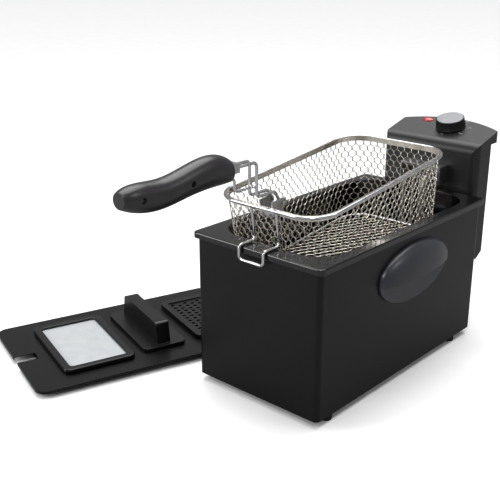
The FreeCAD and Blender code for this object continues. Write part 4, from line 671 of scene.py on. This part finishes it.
class FRYER_OT_knob(bpy.types.Operator):
    """Build the ribbed knob with its spun cap, and the marks on the panel round it."""
    bl_idname = "fryer.knob"
    bl_label = "Build knob and marks"

    def execute(self, context):
        self.build_knob(context.scene.fryer_knob)
        self.build_marks(context.scene.fryer_knob)
        return {"FINISHED"}

    def build_knob(self, sizes):
        """Skirt with ribs, a smooth collar at the top and a recess for the cap."""
        low, high = sizes.float_gap, sizes.float_gap + sizes.height
        foot, top, seat = sizes.foot_radius, sizes.top_radius, sizes.seat_radius
        narrow = (foot - top) / sizes.height
        rings = [
            (foot - 1.0 * MM, low, 0),
            (foot - 0.2 * MM, low + 0.3 * MM, 0),
            (foot - 0.1 * MM, low + 1.2 * MM, 0),
            (foot - 0.2 * MM, low + 1.6 * MM, 1),
            (foot - narrow * 0.5 * sizes.height, low + 0.5 * sizes.height, 1),
            (top, high - 2.2 * MM, 1),
            (top - 0.1 * MM, high - 1.6 * MM, 0.3),
            (top - 0.15 * MM, high - 0.9 * MM, 0),
            (top - 0.45 * MM, high - 0.25 * MM, 0),
            (top - 0.9 * MM, high, 0),
            (seat, high, 0),
            (seat, high - sizes.seat_depth, 0),
        ]
        vertices, faces = ringed(rings, sizes.ribs * 8, sizes.ribs, sizes.rib_depth)
        place = panel_place()
        knob = piece("ribbed_knob", vertices, faces, knob_nylon(), "dial", "knob_plastic", place)
        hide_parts("thermostat_knob")
        sharpen(knob)
        up = place.to_3x3() @ Vector((0, 0, 1))
        paint(spun_aluminium(place.translation, up), "knob_cap")
        self.build_pointer(sizes, place, high)

    def build_pointer(self, sizes, place, high):
        """A white line let into the knob's collar, towards the front."""
        half, inner, outer = 0.5 * MM, sizes.seat_radius + 0.25 * MM, sizes.top_radius - 0.75 * MM
        rise = 0.06 * MM
        corners = [(-half, -inner), (half, -inner), (half, -outer), (-half, -outer)]
        vertices, faces = slab(corners, high - rise, high + rise)
        piece("knob_pointer", vertices, faces, printed_white(), "dial", "knob_plastic", place, smooth=False)

    def build_marks(self, sizes):
        """An index dot before the knob, ticks round it and a few plain degrees."""
        ink = printed_white()
        place = panel_place()
        dot_radius, dot_gap = 0.9 * MM, 3.2 * MM
        dot = ringed([(dot_radius, 0, 0), (dot_radius, PRINT_HEIGHT, 0)], 24)
        spot = place @ Matrix.Translation((0, -sizes.foot_radius - dot_gap, 0))
        piece("index_dot", *dot, ink, "control_head", "head_plastic", spot, smooth=False)
        vertices, faces = [], []
        inner, outer, half = sizes.foot_radius + 1.6 * MM, sizes.foot_radius + 3.0 * MM, 0.22 * MM
        for step in range(TICKS):
            angle = math.radians(SCALE_START + SCALE_STEP * step)
            along = Vector((math.cos(angle), math.sin(angle)))
            across = Vector((-along.y, along.x)) * half
            corners = [along * inner - across, along * outer - across, along * outer + across,
                       along * inner + across]
            more_vertices, more_faces = slab(corners, 0, PRINT_HEIGHT, len(vertices))
            vertices += more_vertices
            faces += more_faces
        piece("dial_ticks", vertices, faces, ink, "control_head", "head_plastic", place, smooth=False)
        reach = outer + NUMBER_SIZE
        for label, step in LABELS:
            angle = math.radians(SCALE_START + SCALE_STEP * step)
            spot = Matrix.Translation((reach * math.cos(angle), reach * math.sin(angle), PRINT_HEIGHT / 2))
            self.build_number(label, place @ spot, ink)

    def build_number(self, label, place, ink):
        """One printed number, lying flat on the panel."""
        text = bpy.data.curves.new("number", "FONT")
        text.body = label
        text.size = NUMBER_SIZE
        text.extrude = 0.03 * MM
        text.align_x, text.align_y = "CENTER", "CENTER"
        placed("dial_number_" + label, mesh_of(text), ink, "control_head", "head_plastic", place)


class FRYER_OT_basket(bpy.types.Operator):
    """Weave the basket's mesh and finish its wires, bracket and drain hook."""
    bl_idname = "fryer.basket"
    bl_label = "Weave basket"

    def execute(self, context):
        sizes = context.scene.fryer_weave
        wire = tinned_wire(context.scene.fryer_colours.mesh)
        low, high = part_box("basket_rim_wire")
        thick = 2 * sizes.rim_radius
        tilt = math.atan2(high.z - low.z - thick, high.y - low.y - thick)
        place = Matrix.Translation((low + high) / 2) @ Matrix.Rotation(tilt, 4, "X")
        length = math.hypot(high.z - low.z - thick, high.y - low.y - thick) + thick
        inset = thick + MESH_GAP + sizes.wire_radius
        self.half_x = (high.x - low.x) / 2 - inset
        self.half_y = length / 2 - inset
        self.sizes = sizes
        walls = tube_piece("basket_weave_walls", self.wall_wires(), sizes.wire_radius, wire, "basket",
                           "mesh_wire", place)
        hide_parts("basket_mesh")
        tube_piece("basket_weave_floor", self.floor_wires(), sizes.wire_radius, wire, "basket", "mesh_wire",
                   place)
        self.build_band(wire, place)
        paint(plated_wire(), "basket_rim_wire", "basket_base_wire", "drain_hook", "handle_wire_left",
              "handle_wire_right", "catch_brace")
        paint(stainless_sheet(), "handle_bracket", "grip_ferrule")
        return {"FINISHED"}

    def outline(self, share, drop):
        """A point on the mesh tub's wall, a share of the way round and a drop below the rim."""
        corner = self.sizes.corner
        lean = self.sizes.taper * drop / self.sizes.depth
        flats = [2 * (self.half_x - corner), 2 * (self.half_y - corner)] * 2
        arc = math.pi / 2 * corner
        reach = share * (sum(flats) + 4 * arc)
        half_x, half_y = self.half_x - lean, self.half_y - lean
        centres = [(1, -1), (1, 1), (-1, 1), (-1, -1)]
        starts = [(-1, -1), (1, -1), (1, 1), (-1, 1)]
        for side in range(4):
            sx, sy = starts[side]
            ex, ey = centres[side]
            if reach <= flats[side]:
                part = reach / flats[side]
                angle = math.pi / 2 * (side - 1)
                out = Vector((math.cos(angle), math.sin(angle), 0)) * corner
                first = Vector((sx * (half_x - corner), sy * (half_y - corner), 0)) + out
                last = Vector((ex * (half_x - corner), ey * (half_y - corner), 0)) + out
                return first.lerp(last, part) - Vector((0, 0, drop))
            reach -= flats[side]
            if reach <= arc:
                angle = math.pi / 2 * (side - 1) + reach / corner
                out = Vector((math.cos(angle), math.sin(angle), 0)) * corner
                turning = Vector((ex * (half_x - corner), ey * (half_y - corner), 0))
                return turning + out - Vector((0, 0, drop))
            reach -= arc
        return self.outline(0.0, drop)

    def build_band(self, wire, place):
        """The folded band that holds the mesh's top edge inside the rim wire."""
        sizes = self.sizes
        count, thick = 160, BAND_THICKNESS * sizes.wire_radius
        foot = sizes.band_height - BAND_RISE
        profile = [(0.0, -BAND_RISE), (0.0, foot), (1.0, foot), (1.0, -BAND_RISE)]
        vertices, faces = [], []
        for inward, drop in profile:
            for step in range(count):
                spot = self.outline(step / count, drop)
                towards = Vector((-spot.x / self.half_x, -spot.y / self.half_y, 0)).normalized()
                vertices.append(spot + towards * (inward * thick - thick / 2))
        for level in range(len(profile)):
            low, high = level * count, (level + 1) % len(profile) * count
            for step in range(count):
                following = (step + 1) % count
                faces.append((low + step, high + step, high + following, low + following))
        band = piece("mesh_edge_band", vertices, faces, wire, "basket", "mesh_wire", place)
        sharpen(band)

    def wall_wires(self):
        """Wires that run down the wall in zigzags and meet their neighbours by turns, so the cells are
        upright hexagons."""
        sizes = self.sizes
        round_length = 4 * (self.half_x + self.half_y - 2 * sizes.corner) + 2 * math.pi * sizes.corner
        columns = 2 * round(round_length / sizes.pitch / 2)
        swing = (0.5 * round_length / columns - TWIST_CLOSENESS * sizes.wire_radius) / round_length
        rows = round(sizes.depth / sizes.row_height)
        step = sizes.depth / rows
        wires = []
        for column in range(columns):
            middle = (column + 0.5) / columns
            path = []
            for row in range(rows + 1):
                side = 1 if (row + column) % 2 else -1
                for part in (-WALL_STRAIGHT, WALL_STRAIGHT):
                    drop = min(max((row + part) * step, 0.0), sizes.depth)
                    path.append(self.outline((middle + side * swing) % 1.0, drop))
            wires.append(path)
        return wires

    def floor_wires(self):
        """The same hexagons across the floor."""
        sizes = self.sizes
        half_x, half_y = self.half_x - sizes.taper, self.half_y - sizes.taper
        columns = 2 * round(half_x / sizes.pitch)
        width = 2 * half_x / columns
        rows = round(2 * half_y / sizes.row_height)
        step = 2 * half_y / rows
        swing = 0.5 * width - TWIST_CLOSENESS * sizes.wire_radius
        wires = []
        for column in range(columns):
            x = -half_x + (column + 0.5) * width
            inside = sizes.corner - (half_x - abs(x))
            cut = sizes.corner - math.sqrt(max(sizes.corner ** 2 - max(inside, 0.0) ** 2, 0.0))
            limit = half_y - cut
            path = []
            for row in range(rows + 1):
                side = 1 if (row + column) % 2 else -1
                for part in (-FLOOR_STRAIGHT, FLOOR_STRAIGHT):
                    y = -half_y + (row + part) * step
                    if abs(y) < limit:
                        path.append(Vector((x + side * swing, y, -sizes.depth)))
            wires.append(path)
        return wires


class FRYER_OT_grip(bpy.types.Operator):
    """Finish the basket's grip."""
    bl_idname = "fryer.grip"
    bl_label = "Finish grip"

    def execute(self, context):
        paint(phenolic_grip(context.scene.fryer_colours.grip), "grip_left", "grip_right")
        paint(zinc_steel(), "grip_screws")
        return {"FINISHED"}


class FRYER_OT_screws(bpy.types.Operator):
    """Set domed heads with a cross recess on the cover's screws, and snap heads on the rail's rivets."""
    bl_idname = "fryer.screws"
    bl_label = "Build screw heads"

    def execute(self, context):
        self.plated = zinc_steel()
        back, side = Vector((0, 1, 0)), Vector((1, 0, 0))
        self.heads_on("cover_screws", "cover_screw_heads", "control_head", back, 3.0 * MM, 1.0 * MM, True)
        self.heads_on("rail_rivets", "rail_rivet_heads", "housing", back, 3.4 * MM, 1.2 * MM, False)
        self.heads_on("grip_screws", "grip_screw_heads", "basket_handle", side, 3.0 * MM, 0.9 * MM, True)
        return {"FINISHED"}

    def heads_on(self, node, name, body, direction, radius, height, recessed):
        """A head over the outer face of each solid in a node."""
        places = [looking_along(centre, direction) for centre in outer_faces(node, direction)]
        rings = [(radius, 0, 0), (radius, 0.25 * height, 0)]
        rings += [(radius * math.cos(a), (0.25 + 0.75 * math.sin(a)) * height, 0)
                  for a in (math.radians(angle) for angle in (20, 40, 60, 78))]
        vertices, faces = ringed(rings, 32)
        head = bpy.data.meshes.new(name)
        head.from_pydata(vertices, [], faces)
        if recessed:
            head = cross_cut(head, radius, height)
        joined_vertices, joined_faces = [], []
        for place in places:
            start = len(joined_vertices)
            joined_vertices += [place @ v.co for v in head.vertices]
            joined_faces += [tuple(start + i for i in p.vertices) for p in head.polygons]
        made = piece(name, joined_vertices, joined_faces, self.plated, body, "screw_steel")
        sharpen(made, 30)


class FRYER_OT_lid(bpy.types.Operator):
    """Finish the lid with its window, bar handle and filtered vent."""
    bl_idname = "fryer.lid"
    bl_label = "Finish lid"

    def execute(self, context):
        paint(lid_paint(context.scene.fryer_colours.lid), "lid_plate")
        paint(phenolic_black(), "lid_window_frame", "lid_handle", "lid_vent_cover")
        paint(tempered_glass(), "lid_window_glass")
        paint(fibre_felt(), "lid_filter")
        round_edges(2.2 * MM, "lid_handle")
        round_edges(1.4 * MM, "lid_window_frame")
        paint(zinc_steel(), "lid_handle_screws")
        return {"FINISHED"}


class FRYER_OT_stage(bpy.types.Operator):
    """Set the pale floor, the soft lights and the camera."""
    bl_idname = "fryer.stage"
    bl_label = "Set stage"

    def execute(self, context):
        self.lay_floor()
        self.light_up(context.scene)
        stage = context.scene.fryer_stage
        data = bpy.data.cameras.new("View")
        data.lens = stage.lens
        data.sensor_width = 36
        data.clip_start, data.clip_end = 0.01, 50
        camera = bpy.data.objects.new("View", data)
        camera.location = stage.eye
        camera.rotation_euler = (stage.tilt, 0, stage.turn)
        context.scene.collection.objects.link(camera)
        context.scene.camera = camera
        return {"FINISHED"}

    def lay_floor(self):
        """A wide white board, faintly glossy. The camera sees it bright; the light it throws back is dim."""
        material, tree, place = new_material("White laminate board")
        fine = add(tree, "ShaderNodeTexNoise", [("Vector", place, "Object")], _Scale=1000 / 60, _Detail=3.0)
        tint = add(tree, "ShaderNodeValToRGB", [("Fac", fine, "Fac")],
                   stops=((0.3, linear("f6f6f6")), (0.7, linear("fafafa"))))
        board = add(tree, "ShaderNodeBsdfPrincipled", [("Base Color", tint, "Color")],
                    _Roughness=0.25, _Specular_IOR_Level=0.2)
        dim = add(tree, "ShaderNodeBsdfDiffuse", _Color=linear("8c8c8c"))
        path = add(tree, "ShaderNodeLightPath")
        mix = add(tree, "ShaderNodeMixShader", [(0, path, "Is Camera Ray"), (1, dim, 0), (2, board, 0)])
        add(tree, "ShaderNodeOutputMaterial", [("Surface", mix, 0)])
        turns = [2 * math.pi * i / FLOOR_SIDES for i in range(FLOOR_SIDES)]
        edge = [(FLOOR_RADIUS * math.cos(turn), FLOOR_RADIUS * math.sin(turn), 0) for turn in turns]
        data = bpy.data.meshes.new("floor")
        data.from_pydata(edge, [], [tuple(range(FLOOR_SIDES))])
        data.materials.append(material)
        floor = bpy.data.objects.new("floor", data)
        bpy.context.scene.collection.objects.link(floor)
        floor.location.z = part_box("feet")[0].z - FLOOR_GAP

    def light_up(self, scene):
        """A white surround, a broad soft light from above and three soft lamps."""
        world = bpy.data.worlds.new("White surround")
        world.use_nodes = True
        tree = world.node_tree
        tree.nodes.clear()
        seen = add(tree, "ShaderNodeBackground", _Color=(1, 1, 1, 1), _Strength=1.0)
        felt = add(tree, "ShaderNodeBackground", _Color=(1, 1, 1, 1), _Strength=0.3)
        path = add(tree, "ShaderNodeLightPath")
        mix = add(tree, "ShaderNodeMixShader", [(0, path, "Is Camera Ray"), (1, felt, 0), (2, seen, 0)])
        add(tree, "ShaderNodeOutputWorld", [("Surface", mix, 0)])
        scene.world = world
        scene.view_settings.view_transform = "Standard"
        sky = bpy.data.lights.new("Sky panel", "SUN")
        sky.energy = 3.5
        sky.angle = math.radians(60)
        above = bpy.data.objects.new("Sky panel", sky)
        above.rotation_euler = (math.radians(-14), math.radians(-10), 0)
        scene.collection.objects.link(above)
        # Name, place, what it is aimed at, size in metres and power in watts.
        lamps = (
            ("Left", (-1.3, -1.6, 0.8), (0.0, -0.1, 0.1), 0.9, 22),
            ("Right", (1.6, 0.5, 1.4), (0.1, 0.0, 0.15), 0.6, 4),
            ("Front", (0.8, -1.5, 1.9), (0.05, 0.0, 0.15), 0.45, 16),
        )
        for name, spot, aim, size, power in lamps:
            data = bpy.data.lights.new(name, "AREA")
            data.size = size
            data.energy = power
            lamp = bpy.data.objects.new(name, data)
            lamp.location = spot
            lamp.rotation_euler = (Vector(aim) - Vector(spot)).to_track_quat("-Z", "Y").to_euler()
            scene.collection.objects.link(lamp)


class FRYER_PT_panel(bpy.types.Panel):
    """The fryer's pieces in the 3D view's sidebar."""
    bl_label = "Deep Fryer"
    bl_space_type = "VIEW_3D"
    bl_region_type = "UI"
    bl_category = "Fryer"

    def draw(self, context):
        scene = context.scene
        for settings in (scene.fryer_weave, scene.fryer_knob, scene.fryer_colours, scene.fryer_stage):
            box = self.layout.box()
            for name in settings.__annotations__:
                box.prop(settings, name)
        for step in STEPS:
            self.layout.operator(step.bl_idname)


STEPS = (
    FRYER_OT_housing,
    FRYER_OT_pot,
    FRYER_OT_head,
    FRYER_OT_knob,
    FRYER_OT_basket,
    FRYER_OT_grip,
    FRYER_OT_screws,
    FRYER_OT_lid,
    FRYER_OT_stage,
)
GROUPS = {
    "fryer_weave": FryerWeave,
    "fryer_knob": FryerKnob,
    "fryer_colours": FryerColours,
    "fryer_stage": FryerStage,
}


def register():
    """Add the settings, operators and panel."""
    for group in GROUPS.values():
        bpy.utils.register_class(group)
    for step in (*STEPS, FRYER_PT_panel):
        bpy.utils.register_class(step)
    for name, group in GROUPS.items():
        setattr(bpy.types.Scene, name, PointerProperty(type=group))


def unregister():
    """Take them out again."""
    for name in GROUPS:
        delattr(bpy.types.Scene, name)
    for step in (FRYER_PT_panel, *reversed(STEPS)):
        bpy.utils.unregister_class(step)
    for group in reversed(tuple(GROUPS.values())):
        bpy.utils.unregister_class(group)


def main():
    """Run every step in order."""
    register()
    bpy.ops.fryer.housing()
    bpy.ops.fryer.pot()
    bpy.ops.fryer.head()
    bpy.ops.fryer.knob()
    bpy.ops.fryer.basket()
    bpy.ops.fryer.grip()
    bpy.ops.fryer.screws()
    bpy.ops.fryer.lid()
    bpy.ops.fryer.stage()


if __name__ == "__main__":
    main()
